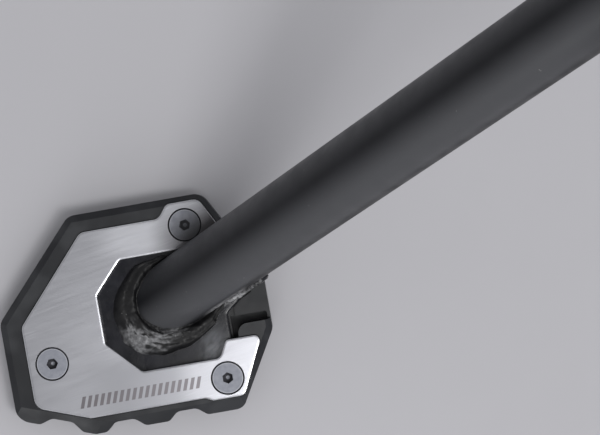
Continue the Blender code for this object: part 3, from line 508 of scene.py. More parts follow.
def turned(profile, segments=96):
    """A profile of (radius, height) pairs spun about Z. One that starts and ends off the axis is a ring."""
    bm = bmesh.new()
    rings = []
    for radius, height in profile:
        if radius == 0:
            rings.append([bm.verts.new((0, 0, height))])
            continue
        angles = [2 * pi * k / segments for k in range(segments)]
        rings.append([bm.verts.new((radius * cos(a), radius * sin(a), height)) for a in angles])
    closed = profile[0][0] > 0 and profile[-1][0] > 0
    for lower, upper in zip(rings, rings[1:] + rings[:1] if closed else rings[1:]):
        for k in range(segments):
            pair = (k, (k + 1) % segments)
            corners = [lower[i % len(lower)] for i in pair] + [upper[i % len(upper)] for i in reversed(pair)]
            bm.faces.new(list(dict.fromkeys(corners)))
    return bm


def bar(radius, low, high, segments=96):
    return turned([(0, low), (radius, low), (radius, high), (0, high)], segments)


def collar(inner, outer, low, high):
    return turned([(inner, low), (outer, low), (outer, high), (inner, high)])


def hexagon_outline(across_flats, turn=0.0):
    radius = across_flats / 2 / cos(pi / 6)
    angles = [turn + 2 * pi * k / 6 for k in range(6)]
    return [Vector((radius * cos(a), radius * sin(a))) for a in angles]


def rectangle(half_width, half_height, radius):
    """A rectangle about the origin, from half sizes in metres and its corners' radius in millimetres."""
    x, y = half_width / MM, half_height / MM
    return rounded([(-x, -y, radius), (x, -y, radius), (x, y, radius), (-x, y, radius)])


def wire(bm, points, radii, sides):
    """A round wire along a line of points, with flat ends."""
    rings = []
    side = None
    for i, here in enumerate(points):
        along = (points[min(i + 1, len(points) - 1)] - points[max(i - 1, 0)]).normalized()
        if side is None:
            side = along.orthogonal()
        side = (side - along * side.dot(along)).normalized()
        other = along.cross(side)
        angles = [2 * pi * k / sides for k in range(sides)]
        rings.append([here + (side * cos(a) + other * sin(a)) * radii[i] for a in angles])
    return skin(bm, rings)


def solid(name, bm, matrix=None):
    """An object from a mesh that is modelled in a local frame, with its faces out."""
    if matrix is not None:
        bm.transform(matrix)
    bmesh.ops.recalc_face_normals(bm, faces=bm.faces)
    mesh = bpy.data.meshes.new(name)
    bm.to_mesh(mesh)
    bm.free()
    made = bpy.data.objects.new(name, mesh)
    bpy.context.scene.collection.objects.link(made)
    return made


def settle(target):
    """Turns an object's modifiers into its mesh."""
    graph = bpy.context.evaluated_depsgraph_get()
    graph.update()
    result = bpy.data.meshes.new_from_object(target.evaluated_get(graph))
    target.modifiers.clear()
    target.data = result


def combine(target, bm, matrix=None, operation="DIFFERENCE"):
    """Cuts a shape from an object, joins it on, or keeps what both share."""
    helper = solid("helper", bm, matrix)
    modifier = target.modifiers.new("combine", "BOOLEAN")
    modifier.operation = operation
    modifier.solver = "EXACT"
    modifier.object = helper
    settle(target)
    bpy.data.objects.remove(helper)


def smooth(target, angle):
    """Shades an object smooth, with sharp edges past an angle in degrees."""
    target.data.shade_smooth()
    target.data.set_sharp_from_angle(angle=radians(angle))


def soften(target, width, segments=2, angle=40):
    """Rounds an object's edges and shades it smooth."""
    bm = bmesh.new()
    bm.from_mesh(target.data)
    bmesh.ops.remove_doubles(bm, verts=bm.verts, dist=0.003 * MM)
    bmesh.ops.dissolve_limit(bm, angle_limit=radians(0.5), verts=bm.verts, edges=bm.edges)
    bm.to_mesh(target.data)
    bm.free()
    modifier = target.modifiers.new("edges", "BEVEL")
    modifier.width = width
    modifier.segments = segments
    modifier.limit_method = "ANGLE"
    modifier.angle_limit = radians(angle)
    modifier.miter_outer = "MITER_ARC"
    smooth(target, angle)
    weighted = target.modifiers.new("flat_faces", "WEIGHTED_NORMAL")
    weighted.weight = 100
    weighted.keep_sharp = True


def soft_solid(name, bm, matrix, width, segments=2):
    """A new object from a mesh, with soft edges."""
    made = solid(name, bm, matrix)
    soften(made, width, segments)
    return made


def place_piece(piece, body, finish, slot, *nodes):
    """Gives a piece its material and its body, and hides the CAD nodes that it stands for; the slot is not
    used.
    """
    piece.data.materials.clear()
    piece.data.materials.append(finish)
    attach(piece, body)
    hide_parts(*nodes)


# ---------------------------------------------------------------- foot enlarger


def plan_from_leg(along, aside):
    """A point of the foot's plan, by its distance along and across the leg's heading."""
    point = AXIS_ON_FOOT + HEADING * along * MM + ACROSS * aside * MM
    return point.x / MM, point.y / MM


BASE_CORNERS = [
    (-22.5, 42, 6), (-56.8, 4.2, 6), (-56.6, -35.5, 7),
    (-47.9, -38.6, 3), (-42.6, -36.9, 4), (-34.6, -39.8, 4), (-31.4, -44.6, 3),
    (-26.5, -46.3, 3),
    (-21.8, -46.3, 3), (-17.9, -42.6, 4), (-9.9, -42.6, 4), (-6, -46.3, 3),
    (3.6, -46.3, 3), (7.4, -42.8, 4), (15.3, -42.8, 4), (19.2, -46.3, 3),
    (33.8, -46.3, 5), (50.8, -16.8, 5), (50.8, 7, 5), (31.7, 42, 6),
]  # fmt: skip
BASE_FACETS = [
    ((-22.5, 42), (-56.8, 4.2), 2.8, 2.8),
    ((-56.8, 4.2), (-56.6, -35.5), 2.8, 2.8),
    ((-56.6, -35.5), (-26.5, -46.3), 6, 4),
    ((-26.5, -46.3), (33.8, -46.3), 4.9, 4),
    ((33.8, -46.3), (50.8, -16.8), 2.8, 2.8),
    ((50.8, -16.8), (50.8, 7), 2.4, 2.4),
    ((50.8, 7), (31.7, 42), 2.8, 2.8),
    ((31.7, 42), (-22.5, 42), 2.8, 2.8),
]
PLATE_CORNERS = [
    (-48, -31.5, 5), (-26.8, -39.3, 3), (19.6, -39.3, 2), (22.6, -40.8, 2), (35.3, -40.8, 3),
    (46.2, -17.8, 2.2), (31.6, -17.8, 1.6), (28.2, -24.6, 3),
    (-3.4, -24.6, 2.5), (-16.2, -11.2, 2.2), (-16.2, 8.8, 2.2), (-4.9, 21.2, 2.5),
    (24, 21.2, 2), (29.5, 24.5, 4), (36.5, 28.2, 1.6),
    (30.4, 39.8, 4), (17.4, 39.8, 3), (13.4, 34.6, 4), (-18.5, 34.6, 4), (-48, 1.3, 4),
]  # fmt: skip
FOOT_CORNERS = [
    (-21.5, -13.4, 3), (-5.8, -28.6, 3), (34, -28.6, 5), (34, -7.5, 2), (*plan_from_leg(20.6, -16), 1),
    (*plan_from_leg(20.6, 11.5), 1), (24.5, 25.6, 4), (-7.6, 25.6, 3), (-21.5, 11, 3),
]  # fmt: skip
BESIDE_FOOT_CORNERS = [(30, -28.99, 0), (36.8, -28.99, 3), (36.8, 0, 0), (30, 0, 0)]
UNDER_TONGUE_CORNERS = [
    (*plan_from_leg(15, -16.6), 0), (*plan_from_leg(25, -16.6), 1),
    (*plan_from_leg(25, 12.2), 1), (*plan_from_leg(15, 12.2), 0),
]  # fmt: skip
SLOT_CORNERS = [
    (36.7, -12.4, 0), (60, -12.4, 0), (60, 38, 0),
    (*plan_from_leg(50, 13.6), 0), (*plan_from_leg(24, 13.6), 1), (36.7, 15.2, 0),
]  # fmt: skip
CHANNEL_CORNERS = [
    (34.7, -20, 0), (37, -20, 0), (37, -12.6, 4), (49.6, -12.6, 0), (49.6, -9.2, 1), (34.7, -9.2, 0),
]  # fmt: skip
SCREW_PLACES = ((-38.4, -15.2), (23.4, 30.4), (29.8, -32.9))
SOCKET_TURNS = (0, 11, 30)
SCREW_HEAD_RADIUS = 6.2 * MM
SCREW_RADIUS = 3 * MM
SLOT_FLOOR = 9.6 * MM
CHANNEL_FLOOR = 2.6 * MM


def slice_off(bm, point, normal):
    """Planes off what lies beyond a plane, and closes the cut."""
    geometry = bm.verts[:] + bm.edges[:] + bm.faces[:]
    cut = bmesh.ops.bisect_plane(bm, geom=geometry, plane_co=point, plane_no=normal, clear_outer=True)
    bmesh.ops.holes_fill(bm, edges=[e for e in cut["geom_cut"] if isinstance(e, bmesh.types.BMEdge)])


def at_foot(x, y):
    return FOOT @ Matrix.Translation(Vector((x, y, 0)) * MM)


def make_extension_base(finish):
    """The lower part: slanted top edges, notches, a plate recess, a pocket for the foot and a slot."""
    bm = prism(rounded(BASE_CORNERS), 0, RIM_TOP)
    for start, end, inset, drop in BASE_FACETS:
        along = (Vector((*end, 0)) - Vector((*start, 0))).normalized()
        lower = Vector((*start, 0)) * MM + UP * (RIM_TOP - drop * MM)
        slice_off(bm, lower, along.cross(UP) * drop + UP * inset)
    base = solid("enlarger_base", bm, FOOT)
    above = RIM_TOP + 5 * MM
    floor = FOOT_BOTTOM - GAP
    for outline, bottom in (
        (grown(rounded(PLATE_CORNERS), 1.2 * GAP), PLATE_BOTTOM - GAP),
        (grown(rounded(FOOT_CORNERS), 1.3 * GAP), floor),
        (rounded(BESIDE_FOOT_CORNERS), floor),
        (rounded(UNDER_TONGUE_CORNERS), floor + 0.05 * MM),
        (rounded(SLOT_CORNERS), SLOT_FLOOR),
        (rounded(CHANNEL_CORNERS), CHANNEL_FLOOR),
    ):
        combine(base, prism(outline, bottom, above), FOOT)
    for place in SCREW_PLACES:
        combine(base, bar(SCREW_RADIUS + GAP, 2.5 * MM, above, 48), at_foot(*place))
    soften(base, 0.35 * MM, 3, 25)
    place_piece(base, "leg", finish, "black_anodised", "extension_base")


def make_clamp_plate(finish):
    """The C-shaped plate with its countersinks and polished bevels."""
    outline = rounded(PLATE_CORNERS)
    lead_in, drop = 0.75 * MM, 0.2 * MM
    bm = bmesh.new()
    rings = ((outline, PLATE_BOTTOM), (outline, PLATE_TOP - drop), (grown(outline, -lead_in), PLATE_TOP))
    skin(bm, [[(p.x, p.y, height) for p in ring] for ring, height in rings])
    plate = solid("brushed_clamp_plate", bm, FOOT)
    rim = SCREW_HEAD_RADIUS + 0.52 * MM
    neck = SCREW_RADIUS + GAP
    for x, y in SCREW_PLACES:
        profile = [(0, PLATE_BOTTOM - MM), (neck, PLATE_BOTTOM - MM), (neck, PLATE_TOP - rim + neck)]
        profile += [(rim, PLATE_TOP), (rim, PLATE_TOP + MM), (0, PLATE_TOP + MM)]
        combine(plate, turned(profile, 72), at_foot(x, y))
    soften(plate, 0.25 * MM)
    place_piece(plate, "leg", finish, "brushed_plate", "clamp_plate")


def make_clamp_screws(finish):
    """Countersunk screws with a hexagon socket that ends in a drill point."""
    top = PLATE_TOP - 0.2 * MM
    tip = 3.2 * MM
    profile = [(0, tip), (SCREW_RADIUS - 0.8 * MM, tip), (SCREW_RADIUS, tip + 0.8 * MM)]
    profile += [(SCREW_RADIUS, top - 3.4 * MM), (SCREW_HEAD_RADIUS, top - 0.2 * MM)]
    profile += [(SCREW_HEAD_RADIUS, top - 0.1 * MM), (SCREW_HEAD_RADIUS - 0.15 * MM, top), (0, top)]
    drilled = [(0, top - 3.7 * MM), (1.7 * MM, top - 2.75 * MM)]
    drilled += [(1.7 * MM, top - 2.5 * MM), (0, top - 2.5 * MM)]
    for number, (place, turn) in enumerate(zip(SCREW_PLACES, SOCKET_TURNS), 1):
        at_screw = at_foot(*place)
        screw = solid(f"countersunk_screw_{number}", turned(profile, 72), at_screw)
        combine(screw, prism(hexagon_outline(4 * MM, radians(turn)), top - 2.7 * MM, top + MM), at_screw)
        combine(screw, turned(drilled, 36), at_screw)
        soften(screw, 0.15 * MM, 2, 30)
        place_piece(screw, "leg", finish, "screw_steel", f"clamp_screw_{number}")


# ---------------------------------------------------------------- foot and leg


def lumps(point, size):
    """Smooth noise from about -1 to 1, with lumps of a given size."""
    return noise.fractal(point / size, 1.0, 2.0, 3)


def on_tube(angle, radius, height):
    """A point on a cylinder about the leg's axis, at a height in the foot frame."""
    start = AXIS_ON_FOOT + (ACROSS * sin(angle) + UNDERSIDE * cos(angle)) * radius
    return start + LEG_AXIS * ((height - start.z) / LEG_AXIS.z)


TONGUE_LOW_SIDE = -15.8 * MM
TONGUE_HIGH_SIDE = 11.5 * MM
TONGUE_THICKNESS = 4 * MM
TONGUE_RISE = 12.4 * MM
TONGUE_TIP = (TONGUE_RISE + (TUBE_RADIUS + GAP) * cos(LEG_ELEVATION)) / sin(LEG_ELEVATION)


def add_wear(piece, amount, name="wear"):
    """Stores how worn each point of a piece is, from a function of its place in the foot frame."""
    wear = piece.data.attributes.new(name, "FLOAT", "POINT")
    for vertex, value in zip(piece.data.vertices, wear.data):
        value.value = amount(vertex.co - FOOT_ORIGIN)


def foot_painted_sheen(point):
    """A painted sheen on the foot's right half, in streaks that run away from the leg."""
    along, aside = point.x - 27 * MM, point.y + 20.5 * MM
    streak = lumps(Vector((point.x * 0.3 + point.y * 0.5, point.y - point.x, 0)), 2.2 * MM)
    return max(0.0, hump(along, 0, 4.8 * MM) * hump(aside, 0, 6.5 * MM) * (0.75 + 0.55 * streak))


def tongue_wear(point):
    """Chips along the tongue's low edge."""
    away = (point - AXIS_ON_FOOT).dot(ACROSS) - TONGUE_LOW_SIDE
    chips = 0.5 + 0.8 * lumps(point, 1.6 * MM)
    on_tongue = point.z > FOOT_TOP + 1 * MM
    return chips * exp(-((away / (0.9 * MM)) ** 2)) if on_tongue else 0.0


def make_foot_plate(finish):
    """The pressed foot: a plate with soft edges and a tongue that is turned up under the leg."""
    plate = solid("pressed_foot", prism(rounded(FOOT_CORNERS), FOOT_BOTTOM, FOOT_TOP), FOOT)
    start = 10
    corners = [(start, TONGUE_LOW_SIDE / MM, 0), (TONGUE_TIP / MM, TONGUE_LOW_SIDE / MM, 1.5)]
    corners += [(TONGUE_TIP / MM, TONGUE_HIGH_SIDE / MM, 5), (start, TONGUE_HIGH_SIDE / MM, 0)]
    upper = TUBE_RADIUS + GAP
    tongue = prism(rounded(corners), upper, upper + TONGUE_THICKNESS)
    tongue.transform(FOOT @ frame_matrix(LEG_AXIS, ACROSS, UNDERSIDE, AXIS_ON_FOOT))
    slice_off(tongue, FOOT_ORIGIN + UP * (FOOT_BOTTOM + 0.1 * MM), -UP)
    combine(plate, tongue, None, "UNION")
    remesh = plate.modifiers.new("even", "REMESH")
    remesh.mode = "VOXEL"
    remesh.voxel_size = 0.45 * MM
    soft = plate.modifiers.new("soft", "SMOOTH")
    soft.factor = 0.5
    soft.iterations = 7
    settle(plate)
    smooth(plate, 180)
    add_wear(plate, tongue_wear)
    add_wear(plate, foot_painted_sheen, "painted_sheen")
    place_piece(plate, "leg", finish, "foot_paint", "foot_plate")


def make_leg_tube(finish):
    """The leg's tube, which is cut off level on the foot."""
    segments = 160
    level = FOOT_TOP + 0.2 * GAP
    top = AXIS_ON_FOOT + LEG_AXIS * (LEG_LENGTH - TUBE_TOP)
    bm = bmesh.new()
    rings = []
    for radius, inset in (
        (TUBE_RADIUS, None), (TUBE_RADIUS, 0.6 * MM), (TUBE_RADIUS - 0.6 * MM, 0),
        (TUBE_BORE_RADIUS, 0), (TUBE_BORE_RADIUS, None),
    ):  # fmt: skip
        ring = []
        for k in range(segments):
            point = on_tube(2 * pi * k / segments, radius, level)
            if inset is not None:
                point += LEG_AXIS * ((top - point).dot(LEG_AXIS) - inset)
            ring.append(point)
        rings.append(ring)
    made = skin(bm, rings, caps=False)
    for k in range(segments):
        m = (k + 1) % segments
        bm.faces.new((made[-1][k], made[-1][m], made[0][m], made[0][k]))
    tube = solid("leg_tube_skin", bm, FOOT)
    smooth(tube, 35)
    place_piece(tube, "leg", finish, "powder_coat", "leg_tube")


# The weld's width on the foot, in millimetres, by the angle in degrees round the leg from its underside.
WELD_WIDTHS = ((48, 1), (75, 1.2), (92, 4), (112, 8.6), (150, 9.4), (178, 9.2), (194, 11), (212, 12.4),
               (230, 12), (250, 11), (272, 8.6), (290, 5.6), (312, 3))  # fmt: skip


def weld_width(angle):
    """The weld's width at an angle, with a smooth slope from one place in the table to the next."""
    for (low, first), (high, second) in zip(WELD_WIDTHS, WELD_WIDTHS[1:]):
        if angle <= high:
            share = (angle - low) / (high - low)
            return (first + (second - first) * share * share * (3 - 2 * share)) * MM
    return WELD_WIDTHS[-1][1] * MM


def hump(value, centre, width):
    """1 at the centre, and close to 0 from about twice the width away."""
    return exp(-(((value - centre) / width) ** 2))


def weld_height(angle, share, point):
    """The bead's height, as a share of its crown, from the tube (0) to its outer edge (1)."""
    steady = 0.66 + 0.34 * hump(share, 0.42, 0.3)
    steady += 0.08 * hump(share, 0.8, 0.15) - 0.12 * hump(share, 0.08, 0.1)
    steady -= 0.1 * hump(share, 0.68, 0.1) * (0.6 + 0.4 * lumps(point, 12 * MM))
    passes = 0.07 * sin(2 * pi * (3.2 * share + 0.5 * lumps(point, 9 * MM))) * hump(angle, 208, 30)
    edge = max(0.0, 1 - ((max(share, 0.84) - 0.84) / 0.16) ** 2)
    return (steady + passes + 0.16 * lumps(point, 4.5 * MM)) * edge


def weld_wear(angle, share):
    """How far the paint is rubbed off: streaks along the bead, low on its left."""
    streaks = noise.fractal(Vector((angle / 14, share * 9, 2.0)), 1.0, 2.0, 4)
    fine = noise.fractal(Vector((angle / 5, share * 26, 7.0)), 1.0, 2.0, 3)
    outer = 1.1 * hump(angle, 204, 24) * hump(share, 0.74, 0.3)
    inner = hump(angle, 228, 17) * hump(share, 0.25, 0.2)
    return max(0.0, (outer + 0.7 * inner) * (0.5 + 0.85 * streaks + 0.3 * fine))


def make_foot_weld(finish):
    """The wide lumpy bead round the tube's end, and the thin one that runs up the tongue's low edge."""
    bm = bmesh.new()
    layer = bm.verts.layers.float.new("wear")
    level = FOOT_TOP - 0.25 * MM
    first, last = 46, 314
    around, outwards = 300, 34
    rings, wears = [], []
    for k in range(around + 1):
        angle = first + (last - first) * k / around
        taper = min(1.0, min(k, around - k) / 10)
        width = weld_width(angle) * taper ** 0.5
        across = width * sin(LEG_ELEVATION)
        crown = 1.1 * MM + 0.24 * width
        ring, worn = [], []
        for j in range(outwards + 1):
            share = j / outwards
            place = on_tube(radians(angle), TUBE_RADIUS + across * share, level)
            rise = weld_height(angle, share, place) * crown * taper
            bulge = 1 + 0.05 * lumps(place, 5 * MM) * share
            radius = TUBE_RADIUS - 0.3 * MM + across * share * bulge
            ring.append(on_tube(radians(angle), radius, level + rise))
            worn.append(weld_wear(angle, share))
        ring.append(on_tube(radians(angle), TUBE_RADIUS - 0.3 * MM, level))
        rings.append(ring)
        wears.append(worn + [0.0])
    made = skin(bm, rings)
    for ring, worn in zip(made, wears):
        for vertex, value in zip(ring, worn):
            vertex[layer] = value
    add_tongue_bead(bm, layer)
    bead = solid("foot_weld_bead", bm, FOOT)
    smooth(bead, 80)
    place_piece(bead, "leg", finish, "weld_paint", "foot_weld")


def add_tongue_bead(bm, layer):
    """A ragged thin bead from the weld's end up the tongue's low edge, with a painted highlight on its lower
    half that its wear layer carries.
    """
    steps = 120
    points, radii = [], []
    start = on_tube(radians(296), TUBE_RADIUS + 1.5 * MM, FOOT_TOP + 0.4 * MM)
    corner = AXIS_ON_FOOT + ACROSS * (TONGUE_LOW_SIDE + 1.1 * MM) + UNDERSIDE * (TUBE_RADIUS + 0.1 * MM)
    for k in range(steps + 1):
        share = k / steps
        on_edge = corner + LEG_AXIS * ((0.36 + 0.61 * share) * TONGUE_TIP)
        blend = min(1.0, share / 0.2)
        points.append(start.lerp(on_edge, blend * blend * (3 - 2 * blend)))
        lump = 1 + 0.35 * lumps(points[-1], 2 * MM)
        radii.append((1.35 - 0.75 * share) * lump * MM)
    for k, ring in enumerate(wire(bm, points, radii, 14)):
        share = k / steps
        # painted highlight: the bead's lower half is marked as worn so that it shows bright
        rubbed = 1.7 * hump(share, 0.24, 0.22) + 0.45 * share
        for vertex in ring:
            vertex[layer] = max(0.0, rubbed * (0.75 + 0.9 * lumps(vertex.co, 1.4 * MM)))


# ---------------------------------------------------------------- yoke, bracket and pivot


def pivot_frame(place):
    """A frame on a line that is parallel to the pivot axis, by its place in the leg frame's XZ plane."""
    return LEG @ Matrix.Translation((place.x, 0, place.y)) @ ON_PIVOT


def leg_plane(turn_angle, distance):
    """A point beside the pivot in the leg frame's XZ plane, by its angle from the folded-out leg."""
    return Vector((-distance * sin(turn_angle), -distance * cos(turn_angle)))


ANCHOR_PLACE = leg_plane(FOLD_ANGLE / 2 + pi, ANCHOR_DISTANCE)
POST_PLACE = leg_plane(0, POST_DISTANCE)
SWITCH_PIN_PLACE = Vector((YOKE_HALF_WIDTH + 7 * MM, -15 * MM))
CHEEK_OUTER = CHEEK_INNER + CHEEK_THICKNESS


def rod(radius, reach=30 * MM):
    """A bar that reaches both ways from the origin, to cut holes with."""
    return bar(radius, -reach, reach, 72)


def make_pivot_yoke(finish):
    """The forged yoke, with soft edges all round."""
    wide, deep = YOKE_HALF_WIDTH, CHEEK_OUTER
    yoke = solid("forged_yoke", prism(rectangle(wide, deep, 3), -WEB_FAR, wide + 2 * MM), LEG)
    low = -TUBE_TOP - 28 * MM
    spigot = [(0, low), (TUBE_BORE_RADIUS - 1.5 * MM, low), (TUBE_BORE_RADIUS - GAP, low + 2 * MM)]
    spigot += [(TUBE_BORE_RADIUS - GAP, -TUBE_TOP + GAP), (TUBE_RADIUS, -TUBE_TOP + GAP)]
    spigot += [(TUBE_RADIUS, -WEB_FAR + 1 * MM), (0, -WEB_FAR + 1 * MM)]
    combine(yoke, turned(spigot), LEG, "UNION")
    combine(yoke, prism(rectangle(40 * MM, CHEEK_INNER, 0), -WEB_NEAR, 40 * MM), LEG)
    outside = [Vector((wide * cos(radians(a)), wide * sin(radians(a)))) for a in range(0, 181, 5)]
    far = wide + 5 * MM
    outside += [Vector((-far, 0)), Vector((-far, 30 * MM)), Vector((far, 30 * MM)), Vector((far, 0))]
    combine(yoke, prism(outside, -30 * MM, 30 * MM), LEG @ UPRIGHT)
    combine(yoke, rod(BOLT_RADIUS + GAP), PIVOT_TURN)
    soften(yoke, 1.1 * MM, 4)
    place_piece(yoke, "leg", finish, "powder_coat", "pivot_yoke")


def roughen(bm, size, amount):
    """Moves points in and out by smooth noise."""
    bmesh.ops.recalc_face_normals(bm, faces=bm.faces)
    bm.normal_update()
    for vertex in bm.verts:
        vertex.co += vertex.normal * amount * lumps(vertex.co, size)


def bead_profile(inner, low, high, bulge):
    """The section of a ring-shaped bead."""
    steps = 12
    profile = [(inner - 0.4 * MM, high), (inner - 0.4 * MM, low)]
    for k in range(steps + 1):
        share = k / steps
        profile.append((inner + bulge * sin(pi * share) ** 0.7, low + (high - low) * share))
    return profile


def make_yoke_weld(finish):
    """The ring of weld between the tube's top and the yoke's collar."""
    bm = turned(bead_profile(TUBE_RADIUS, -TUBE_TOP - 2.6 * MM, -TUBE_TOP + 2.4 * MM, 1.5 * MM), 240)
    for vertex in bm.verts:
        turn = noise.fractal(vertex.co / (3 * MM), 1.0, 2.0, 2)
        vertex.co.x *= 1 + 0.012 * turn
        vertex.co.y *= 1 + 0.012 * turn
    bead = solid("yoke_weld_bead", bm, LEG)
    smooth(bead, 80)
    add_wear(bead, lambda point: 0.0)
    place_piece(bead, "leg", finish, "weld_paint", "yoke_weld")


def pin_profile(start):
    """A spring pin from its foot to its head, along the pivot axis, measured from the leg's middle."""
    end = SPRING_PLANE + 4.6 * MM
    radius = SPRING_PIN_RADIUS
    neck = radius - 0.5 * MM
    head = radius + 2.6 * MM
    profile = [(0, start), (radius, start), (radius, SPRING_PLANE - 4.6 * MM), (neck, SPRING_PLANE - 4 * MM)]
    profile += [(neck, end - 0.4 * MM), (radius, end), (head, end + 0.6 * MM), (head, end + 2.4 * MM)]
    return profile + [(head - 0.8 * MM, end + 3 * MM), (0, end + 3 * MM)]


def make_spring_pins(plated, painted):
    """The post on the leg with its weld, and the pin in the bracket's lug."""
    at_post = pivot_frame(POST_PLACE)
    post = soft_solid("turned_spring_post", turned(pin_profile(12 * MM)), at_post, 0.3 * MM)
    place_piece(post, "leg", plated, "zinc_plate", "spring_post")
    bm = turned(bead_profile(SPRING_PIN_RADIUS, 11 * MM, 17.4 * MM, 3.4 * MM), 160)
    roughen(bm, 3 * MM, 0.25 * MM)
    bead = solid("spring_post_weld", bm, at_post)
    combine(bead, rod(TUBE_RADIUS - 0.2 * MM), LEG @ Matrix.Translation((0, 0, -POST_DISTANCE)))
    smooth(bead, 60)
    add_wear(bead, lambda point: 0.0)
    place_piece(bead, "leg", painted, "weld_paint", "post_weld")
    back = -LUG_HALF_THICKNESS - GAP
    head = 6.9 * MM
    profile = [(0, back - 2 * MM), (head - 0.5 * MM, back - 2 * MM), (head, back - 1.5 * MM), (head, back)]
    profile += pin_profile(back)[1:]
    pin = soft_solid("turned_anchor_pin", turned(profile), pivot_frame(ANCHOR_PLACE), 0.3 * MM)
    place_piece(pin, "bracket", plated, "zinc_plate", "spring_anchor_pin")


def lug_outline():
    """The lug in the leg frame's XZ plane: round where the yoke sweeps, and two flats that stop the yoke."""
    flat = YOKE_HALF_WIDTH + GAP
    up_in_leg = LEG.to_3x3().inverted() @ UP
    up = Vector((up_in_leg.x, up_in_leg.z)).normalized()
    side = Vector((-up.y, up.x))
    ahead = Vector((-cos(FOLD_ANGLE), sin(FOLD_ANGLE)))
    folded = leg_plane(FOLD_ANGLE, 1)
    steps = 48
    angles = [-(pi + FOLD_ANGLE) * k / steps for k in range(steps + 1)]
    points = [Vector((LUG_RADIUS * cos(angle), LUG_RADIUS * sin(angle))) for angle in angles]
    points += [ahead * flat, folded * WEB_FAR + ahead * flat]
    points.append(folded * (WEB_FAR - 4 * MM) + ahead * (flat + 12 * MM))
    points += [up * 34 * MM + side * 24 * MM, up * 90 * MM + side * 24 * MM]
    points += [up * 90 * MM - side * 24 * MM, up * 48 * MM - side * 24 * MM]
    points += [Vector((flat + 13 * MM, -WEB_FAR + 6 * MM)), Vector((flat + 7 * MM, -WEB_FAR))]
    return points + [Vector((flat, -WEB_FAR)), Vector((flat, 0))]


def make_mount_bracket(finish):
    """The cast bracket, with soft edges and bolt holes."""
    half_x, half_z, thick = 46 * MM, 32 * MM, 12 * MM
    bracket = solid("cast_bracket", prism(rectangle(half_x, half_z, 10), 0, thick), UPRIGHT)
    lug = prism(lug_outline(), -LUG_HALF_THICKNESS, LUG_HALF_THICKNESS)
    lug.transform(LEG @ UPRIGHT)
    slice_off(lug, Y_AXIS * -thick / 2, Y_AXIS)
    combine(bracket, lug, None, "UNION")
    for right, upper in ((-1, -1), (1, -1), (1, 1), (-1, 1)):
        place = Matrix.Translation((right * 34 * MM, 0, upper * 21 * MM)) @ UPRIGHT
        combine(bracket, rod(5.25 * MM), place)
    for radius, place in (
        (BUSH_RADIUS + 0.1 * MM, Vector((0, 0))),
        (SPRING_PIN_RADIUS + 0.1 * MM, ANCHOR_PLACE),
        (2.6 * MM, SWITCH_PIN_PLACE),
    ):
        combine(bracket, rod(radius, 20 * MM), pivot_frame(place))
    soften(bracket, 0.9 * MM, 4)
    place_piece(bracket, "bracket", finish, "cast_black", "mount_bracket")


def hexagon(across, low, high, turn=0.0, both=False):
    """A hexagon head or nut whose corners are chamfered at the top, or at both ends."""
    head = solid("hexagon", prism(hexagon_outline(across, turn), low, high))
    corner = across / 2 / cos(pi / 6)
    chamfer = (corner - across * 0.47) * tan(radians(30))
    profile = [(0, low), (across * 0.47 if both else corner + MM, low)]
    profile += [(corner + 0.01 * MM, low + chamfer)] if both else []
    profile += [(corner + (0.01 if both else 1) * MM, high - chamfer), (across * 0.47, high), (0, high)]
    combine(head, turned(profile), None, "INTERSECT")
    bm = bmesh.new()
    bm.from_mesh(head.data)
    bpy.data.objects.remove(head)
    return bm


